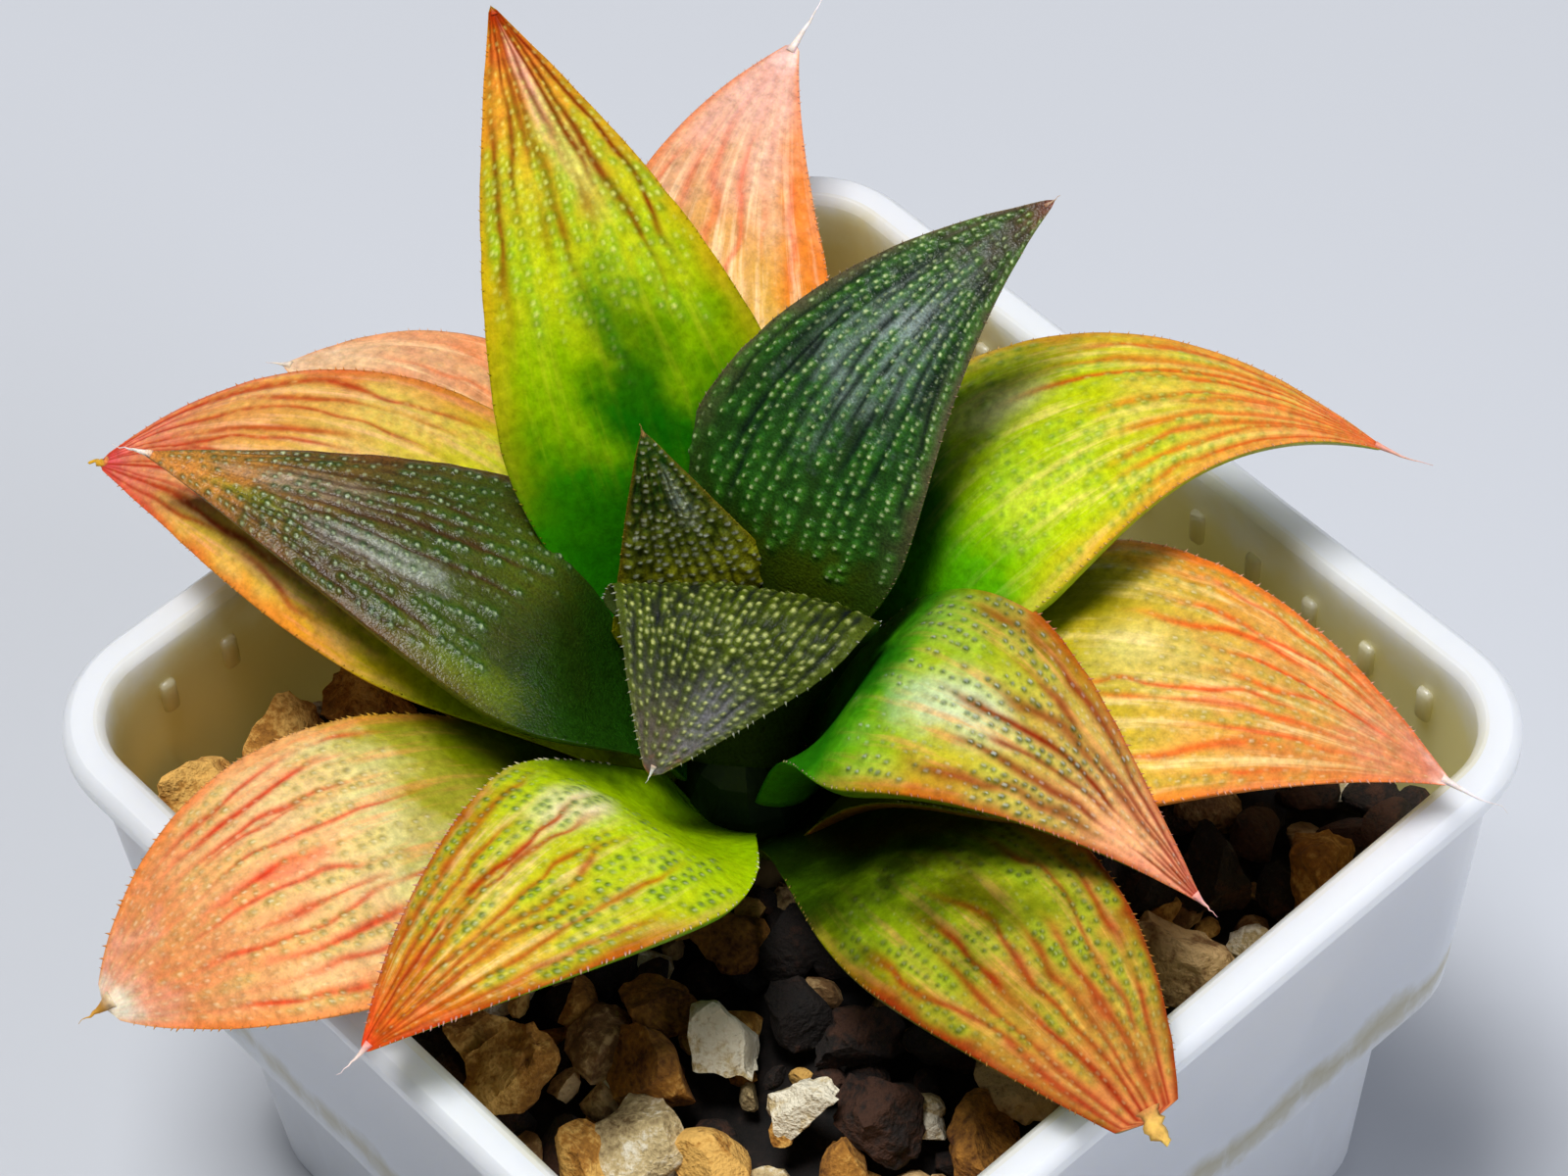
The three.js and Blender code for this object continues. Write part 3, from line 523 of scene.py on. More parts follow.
         skin=[(0, "#a0c404"), (0.4, "#b8cc04"), (0.55, "#ccbc2c"), (0.66, "#d0b454"), (0.76, "#d09444"),
               (0.88, "#c87448"), (0.96, "#dc6c60"), (1, "#e05860")],
         streak=("#f8bc90", 0.6), edge=("#d84c24", 0.7, 0.84), bead_and_glint=("#f8e4a0", 0.35),
         window=("#ecc868", 0.6), ring=("#cc9434", 0.6), veins=(11, "#b03010", 1.0, 0.46, 0.95),
         # Its yellow patches along the lower margin are its own yellow, partly brightened as painted light
         # against leaf 04's shadow.
         patches=[("#c0c404", 0.58, 0.9, 0.3, 0.4, 0.85), ("#e4c444", 0.74, 0.8, 0.18, 0.35, 0.7)],
         under="#c09c14", hair=(1.6, 0.2, 0.4, 0.6), withered="#d8a030", teeth=0.3, tooth_tone=0.4),
    dict(node="leaf_13_low_back_left", azimuth=130, seat=(4, -9), rise=(-11, 15, -4),
         arch=(-21, 26.6, 6.2), tip=(-34, 31.4, 3), width=17, thick=3.6, widest=0.6, taper=2,
         pitch=1.1, size=(0.2, 0.08), rough=0.5, clump=0.6, slot="leaf_sunned",
         skin=[(0, "#c8a840"), (0.5, "#d89048"), (0.75, "#d09068"), (0.9, "#d8b088"), (1, "#e4ccb0")],
         streak=("#f8d4a0", 0.7), edge=("#e87c40", 0.6, 0.8), bead_and_glint=("#f8e0b4", 0.4),
         window=("#f0c890", 0.5), ring=("#d89854", 0.4), veins=(6, "#dc6c34", 0.7, 0.45, 1.0),
         patches=[("#f8dcb0", 0.75, 0.4, 0.2, 0.5, 0.6)], under="#d08c54", hair=(2.0, 0.2, 0.3, 1),
         withered="#f4dcc8", teeth=0.3, tooth_tone=0.4),
    dict(node="leaf_14_low_back", azimuth=90, seat=(4, -9), rise=(-2, 14, -4), arch=(-9.5, 33, 7),
         tip=(4.4, 51, 12), width=19.4, thick=5, widest=0.55, taper=1.9, blunt=1, roll=(0, -10),
         pitch=1.1, size=(0.2, 0.1), rough=0.45, clump=0.6, slot="leaf_sunned",
         skin=[(0, "#c8a424"), (0.6, "#cca030"), (0.75, "#cc9458"), (0.86, "#d8a088"), (0.95, "#dca898"),
               (1, "#f0ccc0")],
         streak=("#f8d4a8", 0.6), edge=("#e87428", 0.65, 0.82), bead_and_glint=("#f8e0c0", 0.4),
         window=("#f0c89c", 0.5), ring=("#d8a074", 0.2), veins=(6, "#dc5438", 0.6, 0.5, 1.2),
         patches=[("#e07c14", 0.74, -0.85, 0.24, 0.35, 0.85)], under="#d88450", hair=(6.0, 0.3, 0.35, 1),
         withered="#f4e4dc", teeth=0.3, tooth_tone=0.4),
]


def ease(value):
    """A soft step from 0 to 1."""
    held = np.clip(value, 0.0, 1.0)
    return held * held * (3 - 2 * held)


def wander(places, knots, dice):
    """A smooth random line from 0 to 1 through so many knots."""
    levels = dice.random(knots + 2)
    at = np.clip(places, 0, 1) * knots
    low = np.floor(at).astype(int)
    return levels[low] + (levels[low + 1] - levels[low]) * ease(at - low)


def midrib(leaf, places):
    """The midrib's points, and the directions ahead, across and up there, in the rosette's frame."""
    facing = math.radians(leaf["azimuth"])
    reach, seat_height = leaf["seat"]
    seat = (STEM_AXIS[0] + reach * math.cos(facing), STEM_AXIS[1] + reach * math.sin(facing), seat_height)
    a, b, c, d = (np.array(p, float) for p in (seat, leaf["rise"], leaf["arch"], leaf["tip"]))
    t = np.asarray(places, float)[:, None]
    points = a * (1 - t) ** 3 + 3 * b * t * (1 - t) ** 2 + 3 * c * t * t * (1 - t) + d * t ** 3
    ahead = (b - a) * (1 - t) ** 2 + 2 * (c - b) * t * (1 - t) + (d - c) * t * t
    ahead /= np.linalg.norm(ahead, axis=1, keepdims=True)
    across = np.array((-math.sin(facing), math.cos(facing), 0.0))
    across = across - ahead * (ahead @ across)[:, None]
    across /= np.linalg.norm(across, axis=1, keepdims=True)
    seat_roll, tip_roll = leaf.get("roll", (0, 0))
    roll = np.radians(seat_roll + (tip_roll - seat_roll) * ease(t))
    across = across * np.cos(roll) + np.cross(ahead, across) * np.sin(roll)
    return points, ahead, across, np.cross(ahead, across)


def half_width(leaf, along):
    """Half the blade's width at places along it: it swells to its widest and tapers to the tip."""
    before = 0.4 + 0.6 * ease(along / leaf["widest"])
    past = np.clip((along - leaf["widest"]) / (1 - leaf["widest"]), 0, 1)
    after = (1 - past ** leaf.get("taper", 1.5)) ** leaf.get("blunt", 1.1)
    return leaf["width"] / 2 * np.where(along < leaf["widest"], before, after)


def thickness(leaf, along):
    """How far the blade's back hangs under its face: most at a third of its length."""
    before = 0.5 + 0.5 * ease(along / THICKEST)
    after = (1 - np.clip((along - THICKEST) / (1 - THICKEST), 0, 1) ** 1.6) ** 0.9
    return leaf["thick"] * np.where(along < THICKEST, before, after)


def to_pot(points):
    """From the rosette's frame in millimetres to the pot's in metres."""
    c, s = math.cos(ROSETTE_TURN), math.sin(ROSETTE_TURN)
    x, y, z = points[..., 0], points[..., 1], points[..., 2]
    return np.stack((c * x - s * y, s * x + c * y, z + RIM), axis=-1) * MM


def mark_points(mesh, masks):
    """Stores a number for each point of a mesh, under each mask's name."""
    for name, values in masks.items():
        mesh.attributes.new(name, "FLOAT", "POINT").data.foreach_set(
            "value", values.astype(np.float32).ravel())


def face_relief(leaf, along, share, run, half, dice):
    """The face's tubercles with their painted glints, windows and veins as masks, and their lift in mm."""
    tubercle_and_glint, mound, ring, window, vein = (np.zeros((len(along), len(share))) for _ in range(5))
    radius, height = leaf["size"]
    step = abs(share[1] - share[0])
    count, _, _, start, swollen = leaf["veins"]
    gap = 2 * ROWS_REACH / (count + 1)
    abreast, fading = ((0.0,), 0.3) if leaf["slot"] == "leaf_dark" else ((-0.21, 0.21), 0.85)
    spacing = gap / len(abreast)
    for row in range((count + 1) * len(abreast)):
        band, lane = divmod(row, len(abreast))
        seat_share = gap * (band + 0.5 + abreast[lane]) - ROWS_REACH
        if lane == 0:
            patchy = wander(along, ROW_KNOTS, dice)
        place = leaf["rough"] * (0.92 + 0.25 * dice.random() + 0.16 * abs(seat_share)) * run[-1]
        sway = 0.5 * (wander(along, 10, dice) - 0.5) * spacing
        while place < run[-1] * 0.975:
            i = int(np.searchsorted(run, place))
            place += leaf["pitch"] * (0.65 + 0.7 * dice.random())
            between = half[i] * spacing
            # Where the rows run together towards the tip, every other one ends, and then more.
            crowded = (between < CLOSE_ROWS and row % 2) or (between < CLOSE_ROWS / 2 and row % 4)
            if crowded or dice.random() < MISSING:
                continue
            vivid = float(ease((patchy[i] - leaf["clump"]) / 0.25 + 0.5)) * (0.6 + 0.4 * dice.random())
            vivid *= 1 - fading * float(ease((along[i] - 0.72) / 0.18))
            middle = seat_share + sway[i] + 0.3 * (dice.random() - 0.5) * spacing
            size = radius * (0.75 + 0.5 * dice.random()) * min(1.0, 0.55 + between)
            first, last = max(i - 9, 0), min(i + 10, len(along))
            j = int(round((share[0] - middle) / step))
            spread = int(1.3 / max(half[i] * step, 0.02)) + 1
            left, right_end = max(j - spread, 0), min(j + spread + 1, len(share))
            if left >= right_end:
                continue
            lengthways = (run[first:last] - run[i])[:, None]
            sideways = (share[left:right_end] - middle)[None, :] * half[first:last, None]
            away = np.hypot(lengthways, sideways) / size
            patch = slice(first, last), slice(left, right_end)
            bright = (0.35 + 0.65 * dice.random()) * (0.45 + 0.55 * vivid)
            # Each tubercle's pale cap sits off its middle, as a painted highlight on its own pale colour.
            glint = np.hypot(lengthways / size + 0.35, sideways / size - 0.35)
            tubercle_and_glint[patch] = np.maximum(tubercle_and_glint[patch], np.clip(1.3 - 1.8 * glint, 0, 1) * bright)
            mound[patch] = np.maximum(mound[patch], np.clip(1.2 - away / 2, 0, 1) * bright)
            shadow = np.exp(-(away / 1.3) ** 3)
            ring[patch] = np.maximum(ring[patch], shadow * (0.15 + 0.85 * vivid))
            clear = np.exp(-(lengthways / WINDOW_LENGTH) ** 2 - (sideways / (0.2 + 0.24 * between)) ** 2)
            window[patch] = 1 - (1 - window[patch]) * (1 - 0.85 * clear * (0.12 + 0.88 * vivid))
    for border in gap * np.arange(1, count + 1) - ROWS_REACH:  # the veins run between the rows
        wave, tremble = wander(along, 8, dice) - 0.5, wander(along, 26, dice) - 0.5
        middle = border + gap * (0.8 * wave + 0.3 * tremble)
        begin = start + 0.2 * dice.random()
        end = (0.9 if leaf["slot"] == "leaf_green" else 0.72) + 0.12 * dice.random()
        strength = ease((along - begin) / 0.12) * (1 - 0.85 * ease((along - end) / 0.1))
        strength *= ease((wander(along, 8, dice) + 0.1) / 0.35) * (0.75 + 0.25 * dice.random())
        narrow = np.clip(1.7 * half / (leaf["width"] / 2), 0.4, 1)
        broad = narrow * swollen * (0.16 + 0.3 * wander(along, 20, dice) * (0.5 + 0.8 * dice.random()))
        sideways = abs(share[None, :] - middle[:, None]) * half[:, None]
        vein = np.maximum(vein, strength[:, None] * np.exp(-(sideways / broad[:, None]) ** 2))
    window *= 1 - 0.8 * vein
    start_of_rough = ease((along - 0.12) / 0.2)[:, None]
    lift = height * mound ** 1.2 + WINDOW_LIFT * window - VEIN_DEPTH * vein * start_of_rough
    return {"tubercle_and_glint": tubercle_and_glint, "ring": ring, "window": window, "vein": vein}, lift


def blade(leaf, dice):
    """A leaf's blade: a grid rolled into a closed skin, which carries the masks of its face."""
    fine = np.linspace(0, leaf.get("end", 0.985), 600)
    points = midrib(leaf, fine)[0]
    length = np.concatenate(([0], np.cumsum(np.linalg.norm(np.diff(points, axis=0), axis=1))))
    pitch = GRID_PITCH * (0.75 if leaf["slot"] == "leaf_dark" else 1.0)
    # The seat is hidden, so its points lie further apart.
    density = 1 / (pitch * (1 + 2.2 * (1 - ease(fine / 0.3))))
    count = np.concatenate(([0], np.cumsum(np.diff(length) * (density[1:] + density[:-1]) / 2)))
    rows = int(count[-1])
    along = np.interp(np.linspace(0, count[-1], rows), count, fine)
    run = np.interp(along, fine, length)
    half = half_width(leaf, along)
    columns = int(leaf["width"] / (pitch * 1.05)) | 1
    share = np.linspace(1, -1, columns)
    masks, lift = face_relief(leaf, along, share, run, half, dice)
    middle, ahead, across, up = midrib(leaf, along)
    swell = -0.3 + 0.46 * ease((along - 0.1) / 0.35)
    swell = swell * (1 - 0.6 * ease((along - 0.75) / 0.25)) * half
    calm = np.minimum(1.0, (1 - abs(share)) * half[:, None] / 0.35)
    rise = swell[:, None] * (1 - share ** 2) + lift * calm
    waver = 0.1 * (wander(along, 40, dice) - 0.5)
    face = (middle[:, None] + across[:, None] * (half[:, None] * share + waver[:, None] * share)[..., None]
            + up[:, None] * rise[..., None])
    back_share = -np.cos(np.pi * np.arange(1, BACK_COLUMNS + 1) / (BACK_COLUMNS + 1))
    drop = thickness(leaf, along)[:, None] * (1 - abs(back_share) ** 2.2) ** 0.65
    behind = (middle[:, None] + across[:, None] * (half[:, None] * back_share)[..., None]
              - up[:, None] * drop[..., None])
    loop = np.concatenate((face, behind, face[:, :1]), axis=1)
    foot = np.repeat(middle[:1, None] - up[:1, None] * leaf["thick"] * 0.2, loop.shape[1], axis=1)
    tip = np.repeat(middle[-1:, None] + ahead[-1:, None] * 0.5, loop.shape[1], axis=1)
    skin = np.concatenate((foot, loop, tip))

    bpy.ops.object.select_all(action="DESELECT")
    bpy.ops.mesh.primitive_grid_add(x_subdivisions=skin.shape[1] - 1, y_subdivisions=skin.shape[0] - 1)
    leaf_object = bpy.context.active_object
    leaf_object.name = leaf["node"].replace("leaf_", "blade_", 1)
    leaf_object.data.vertices.foreach_set("co", to_pot(skin).astype(np.float32).ravel())
    values = {key: np.pad(mask, ((1, 1), (0, BACK_COLUMNS + 1))) for key, mask in masks.items()}
    lines = np.concatenate(([0], along, [1]))
    shares = np.concatenate((share, back_share, share[:1]))
    under = np.concatenate((np.zeros(columns), np.ones(BACK_COLUMNS), [0.0]))
    values["along"] = np.repeat(lines[:, None], skin.shape[1], axis=1)
    values["share"] = np.repeat(shares[None, :], skin.shape[0], axis=0)
    values["under"] = np.repeat(under[None, :], skin.shape[0], axis=0)
    values["dry"] = np.zeros(skin.shape[:2])
    mark_points(leaf_object.data, values)
    bpy.ops.object.mode_set(mode="EDIT")
    bpy.ops.mesh.select_all(action="SELECT")
    bpy.ops.mesh.remove_doubles(threshold=1e-6)
    bpy.ops.mesh.normals_make_consistent(inside=False)
    bpy.ops.object.mode_set(mode="OBJECT")
    return leaf_object, along, run, half


# One marginal tooth, modelled once: a slim five-sided spike that stands on its base.
bpy.ops.object.select_all(action="DESELECT")
bpy.ops.mesh.primitive_cone_add(vertices=5, radius1=0.3, radius2=0.0, depth=1.0, location=(0, 0, 0.5))
bpy.ops.object.transform_apply(location=True, rotation=False, scale=False)
tooth = bpy.context.active_object
TOOTH_POINTS = np.array([v.co[:] for v in tooth.data.vertices])
TOOTH_FACES = [tuple(p.vertices) for p in tooth.data.polygons]
bpy.data.objects.remove(tooth)
HAIR_SIDES = 6
HAIR_STEPS = 9


def teeth_and_hair(leaf, along, run, half, dice):
    """The teeth of both margins, and the hair at the tip, as one loose mesh."""
    points, faces, places, shares, dried = [], [], [], [], []
    middle, ahead, across, up = midrib(leaf, along)
    for side in (1, -1):
        place = run[-1] * 0.2
        while place < run[-1] * 0.985:
            i = int(np.searchsorted(run, place))
            place += (0.8 - 0.3 * along[i]) * (0.55 + 0.9 * dice.random())
            size = leaf["teeth"] * (0.55 + 0.5 * dice.random()) * min(1.0, 0.5 + half[i] / 6)
            lean = 0.7 + 0.7 * dice.random()
            way = across[i] * side + ahead[i] * lean + up[i] * (0.25 + 0.2 * dice.random())
            way /= np.linalg.norm(way)
            flat = np.cross(way, up[i])
            flat /= np.linalg.norm(flat)
            third = np.cross(way, flat)
            root = middle[i] + across[i] * side * (half[i] - 0.14)
            base = sum(len(p) for p in points)
            points.append(root + TOOTH_POINTS @ np.array((flat, third, way * 1.15)) * size)
            faces += [tuple(base + k for k in face) for face in TOOTH_FACES]
            places += [along[i]] * len(TOOTH_POINTS)
            shares += [side] * len(TOOTH_POINTS)
            dried += list(leaf["tooth_tone"] * (0.3 + 0.7 * TOOTH_POINTS[:, 2]))
    length, droop, root, flat = leaf["hair"]
    base = sum(len(p) for p in points)
    turns = np.arange(HAIR_SIDES)[:, None] * math.tau / HAIR_SIDES
    for step in range(HAIR_STEPS + 1):
        t = step / HAIR_STEPS
        centre = (middle[-1] + ahead[-1] * (length * t - 0.3)
                  + np.array((0, 0, 1.0)) * droop * length * t * t * 0.5
                  + across[-1] * 0.12 * length * t * t * (dice.random() - 0.3))
        radius = 0.02 + root * (1 - t) ** 2.2
        if flat < 1:  # a withered tip, which has torn and crumpled
            radius = root * (1 - t ** 3) * (0.55 + 0.6 * dice.random()) + 0.03
            centre = centre + up[-1] * 0.35 * (dice.random() - 0.5)
            centre = centre + across[-1] * 0.5 * (dice.random() - 0.5)
        points.append(centre + radius * (np.cos(turns) * across[-1] + flat * np.sin(turns) * up[-1]))
        dried += [min(1.0, 0.35 + 2.2 * t)] * HAIR_SIDES
        places += [1.0] * HAIR_SIDES
        shares += [0.0] * HAIR_SIDES
    for step in range(HAIR_STEPS):
        for k in range(HAIR_SIDES):
            a, b = (base + step * HAIR_SIDES + corner for corner in (k, (k + 1) % HAIR_SIDES))
            faces.append((a, b, b + HAIR_SIDES, a + HAIR_SIDES))
    faces.append(tuple(base + k for k in range(HAIR_SIDES))[::-1])
    faces.append(tuple(base + HAIR_STEPS * HAIR_SIDES + k for k in range(HAIR_SIDES)))

    name = leaf["node"] + "_trim"
    mesh = bpy.data.meshes.new(name)
    mesh.from_pydata(to_pot(np.concatenate(points)).tolist(), [], faces)
    values = {"along": np.array(places), "share": np.array(shares), "dry": np.array(dried)}
    for key in ("under", "tubercle_and_glint", "ring", "window", "vein"):
        values[key] = np.zeros(len(places))
    mark_points(mesh, values)
    trim = bpy.data.objects.new(name, mesh)
    bpy.context.scene.collection.objects.link(trim)
    return trim


def leaf_skin(leaf):
    """Living leaf skin: a thin waxy cuticle over wet, see-through tissue, so light goes deep in it
    and its gloss is soft. The colour runs from seat to tip under the masks of the blade, and the
    painted shadows lie over them."""
    material, tree, shader = new_material("skin_of_" + leaf["node"])
    coarse = leaf.get("grain", 0.35)
    mask = {key: add_node(tree, "Attribute", output="Fac", attribute_name=key)
            for key in ("along", "share", "under", "tubercle_and_glint", "ring", "window", "vein", "dry")}
    where = add_node(tree, "TexCoord", output="Object")
    cloud, speck, grain = (  # blotches of 4 mm, cells of 0.7 mm and a grain of 0.2 mm
        add_node(tree, "TexNoise", {"Vector": where, "Scale": scale, "Detail": detail})
        for scale, detail in ((260.0, 3.0), (1500.0, 3.0), (5200.0, 1.0)))
    drift, flecked = (add_node(tree, "Math", {0: noise, 1: -0.5}) for noise in (cloud, speck))
    place_along = add_node(tree, "Math", {0: drift, 1: 0.22, 2: mask["along"]}, operation="MULTIPLY_ADD")
    skin = add_node(tree, "ValToRGB", {0: place_along}, stops=leaf["skin"])
    spread = add_node(tree, "CombineXYZ", {0: mask["along"], 1: mask["share"]})
    layers = []
    # The patches, then the painted shadows that the leaves over this one cast on it.
    for colour, along, share, long, broad, strength in leaf["patches"] + leaf.get("painted_shadows", []):
        centred = add_node(tree, "VectorMath", {0: spread, 1: (along, share, 0.0)}, operation="SUBTRACT")
        centred = add_node(tree, "VectorMath", {
            0: centred, 1: (1 / long, 1 / broad, 0.0)}, operation="MULTIPLY")
        away = add_node(tree, "VectorMath", {0: centred}, "Value", operation="LENGTH")
        for noise, much in ((drift, 1.2), (flecked, coarse - 0.35)):
            away = add_node(tree, "Math", {0: noise, 1: much, 2: away}, operation="MULTIPLY_ADD")
        patch = add_node(tree, "MapRange", {
            "Value": away, "From Min": 1.15, "From Max": 0.15}, interpolation_type="SMOOTHSTEP")
        layers.append((patch, colour, strength))
    to_edge = add_node(tree, "Math", {0: mask["share"]}, operation="ABSOLUTE")
    to_edge = add_node(tree, "Math", {0: drift, 1: 0.2, 2: to_edge}, operation="MULTIPLY_ADD")
    edge_colour, edge_strength, edge_start = leaf["edge"]
    edge = add_node(tree, "MapRange", {
        "Value": to_edge, "From Min": edge_start - 0.12, "From Max": 1.02, "To Max": edge_strength},
        interpolation_type="SMOOTHSTEP")
    drawn_out = add_node(tree, "VectorMath", {0: spread, 1: (4.0, 9.0, 1.0)}, operation="MULTIPLY")
    streak = add_node(tree, "TexNoise", {  # a leaf is 4 streaks long and 18 wide
        "Vector": drawn_out, "Scale": 1.0, "Detail": 4.0, "Roughness": 0.6})
    streak = add_node(tree, "MapRange", {
        "Value": streak, "From Min": 0.47, "From Max": 0.66}, interpolation_type="SMOOTHSTEP")
    past_seat, before_tip = (
        add_node(tree, "MapRange", {"Value": mask["along"], "From Min": start, "From Max": end})
        for start, end in ((0.36, 0.6), (0.96, 0.78)))
    edge = add_node(tree, "Math", {0: edge, 1: past_seat}, operation="MULTIPLY")
    for limit in (past_seat, before_tip):
        streak = add_node(tree, "Math", {0: streak, 1: limit}, operation="MULTIPLY")
    top = len(leaf["patches"])  # the painted shadows lie over the veins and beads, the patches under them
    layers[top:top] = [
        (streak, *leaf["streak"]), (edge, edge_colour, 1.0), (mask["vein"], *leaf["veins"][1:3]),
        (mask["window"], *leaf["window"]), (mask["ring"], *leaf["ring"]),
        (mask["tubercle_and_glint"], *leaf["bead_and_glint"])]
    layers += [(mask["under"], leaf["under"], 0.8), (mask["dry"], leaf["withered"], 1.0)]
    for cover, colour, strength in layers:
        cover = add_node(tree, "Math", {0: cover, 1: strength}, operation="MULTIPLY")
        skin = add_node(tree, "Mix", {0: cover, 6: skin, 7: linear(colour)}, output=2, data_type="RGBA")
    shade = add_node(tree, "Math", {0: grain, 1: coarse, 2: speck}, operation="MULTIPLY_ADD")
    bump = add_node(tree, "Bump", {"Height": shade, "Strength": 0.4, "Distance": 0.12 * MM})
    shade = add_node(tree, "Math", {0: shade, 1: 0.575 - coarse / 2})
    skin = add_node(tree, "VectorMath", {0: skin, 1: shade}, operation="MULTIPLY")
    rough = add_node(tree, "MapRange", {"Value": speck, "To Min": 0.2, "To Max": 0.46})
    feed(tree, shader, {
        "Base Color": skin, "Roughness": rough, "Normal": bump, "IOR": 1.45,
        "Specular IOR Level": leaf.get("gloss", 0.3), "Subsurface Weight": 0.3,
        "Subsurface Radius": (1.0, 0.7, 0.2), "Subsurface Scale": 0.7 * MM})
    if leaf["slot"] != "leaf_dark":  # a pale leaf's gloss takes the leaf's own colour
        feed(tree, shader, {"Specular Tint": skin})
    return material


leaves = []
for number, leaf in enumerate(LEAVES, 1):
    dice = np.random.default_rng(100 + number)
    leaf_object, along, run, half = blade(leaf, dice)
    trim = teeth_and_hair(leaf, along, run, half, dice)
    skin = leaf_skin(leaf)
    leaf_object.data.materials.append(skin)
    trim.data.materials.append(skin)
    select_only(leaf_object, trim)
    bpy.ops.object.join()
    bpy.ops.object.shade_smooth()
    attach(leaf_object, "root")
    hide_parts(leaf["node"])
    leaves.append(leaf_object)

# ------------------------------------------------------------------ grit
# Free-draining mineral grit poured round the plant: tan baked clay, pale pumice, river pebble and
# dark lava, 5 to 8 mm across, over finer crumbs. Every grain is its own chipped stone.
GRIT_TOP = RIM - 10.0
BED_HALF = 33.0  # half the width that the grains fill, in millimetres
GRAIN_PITCH = 5.4
CRUMBS = 420
STEM_PLACE = (-2.3, -2.0)
STEM_ROOM = 7.5  # no grain's middle lies nearer to the stem's
LEAF_ROOM = 0.4  # what stays free between a grain and the leaf over it
AROUND = (  # a grain's middle and eight points round it, in shares of its radius
    (0, 0), (1, 0), (-1, 0), (0, 1), (0, -1), (0.7, 0.7), (-0.7, -0.7), (0.7, -0.7), (-0.7, 0.7))
BROKEN_FACES = {"baked_clay": 7, "pumice": 11, "pebble": 3, "lava": 8}
SHOWN = [  # the grains that show best: their kind, their place and their radius in millimetres
    ("pumice", 11.0, -16.0, 3.0), ("pumice", 18.0, -16.0, 2.5), ("pumice", 13.5, -25.5, 3.5),
    ("baked_clay", 9.5, -21.5, 3.1), ("baked_clay", 3.5, -28.0, 3.2), ("baked_clay", 5.5, -17.5, 2.4),
    ("lava", 22.0, -13.0, 2.9), ("lava", 17.0, -9.5, 2.9), ("baked_clay", 28.0, -9.5, 3.0),
    ("pebble", 27.0, -4.0, 3.0), ("pebble", 28.0, 10.0, 3.0), ("lava", 24.0, 17.0, 3.4),
    ("baked_clay", 29.0, 22.0, 3.2), ("baked_clay", -29.0, -28.5, 3.6), ("baked_clay", -29.5, -21.5, 3.3),
    ("baked_clay", -24.5, -26.0, 3.4), ("baked_clay", -27.0, -15.5, 3.4), ("lava", -26.5, -9.0, 3.6),
]
GRIT_FINISH = {  # colours, pore size in millimetres, pore depth and roughness
    "baked_clay": (["#542c08", "#b47a2c", "#ecb860"], 0.5, 0.9, 0.9),
    "pumice": (["#6c5430", "#d4bc88", "#fcf2d8"], 0.4, 1.0, 0.85),
    "pebble": (["#4c3420", "#946c40", "#d8b47c"], 0.6, 0.8, 0.7),
    "lava": (["#0a0604", "#1c100a", "#402414"], 0.6, 1.2, 0.85),
}


def stone(radius, flats, middle, dice, splits=3):
    """A chipped stone: an icosphere shaken out of round and cut flat on a few sides."""
    bpy.ops.mesh.primitive_ico_sphere_add(subdivisions=splits, radius=1.0)
    grain = bpy.context.active_object
    points = np.array([v.co[:] for v in grain.data.vertices])
    for scale, depth in ((1.3, 0.2), (0, 0), (3.5, 0.07), (7.0, 0.05), (13.0, 0.03))[:splits + 1]:
        if not scale:  # the broken faces come between its lumps and its pits
            for _ in range(flats):
                way = dice.normal(size=3)
                way /= np.linalg.norm(way)
                points -= np.clip(points @ way - (0.42 + 0.35 * dice.random()), 0, None)[:, None] * way
            continue
        waves = dice.normal(size=(3, 3)) * scale
        phase = dice.random(3) * 6.3
        points *= 1 + depth * np.sin(points @ waves.T + phase).sum(axis=1, keepdims=True) / 1.7
    stretch = np.array((1.25, 0.85 + 0.35 * dice.random(), 0.7 + 0.3 * dice.random()))
    turn = Matrix.Rotation(dice.random() * 6.3, 3, "Z") @ Matrix.Rotation(dice.random() - 0.5, 3, "X")
    points = (points * stretch * radius) @ np.array(turn).T + np.array(middle)
    grain.data.vertices.foreach_set("co", (points * MM).astype(np.float32).ravel())
    mark_points(grain.data, {"tone": np.full(len(points), dice.random())})
    return grain


plant = []
for leaf_object in leaves:
    corners = [v.co.copy() for v in leaf_object.data.vertices]
    plant.append(BVHTree.FromPolygons(corners, [p.vertices[:] for p in leaf_object.data.polygons]))


def top_under_leaves(highest, x, y, radius):
    """A grain's top in millimetres: as high as it may lie, but clear of the leaves over it."""
    for dx, dy in AROUND:
        start = Vector((x + dx * radius, y + dy * radius, 20.0)) * MM
        for tree in plant:
            hit = tree.ray_cast(start, Vector((0, 0, 1)))[0]
            if hit is not None:
                highest = min(highest, hit.z / MM - LEAF_ROOM)
    return highest


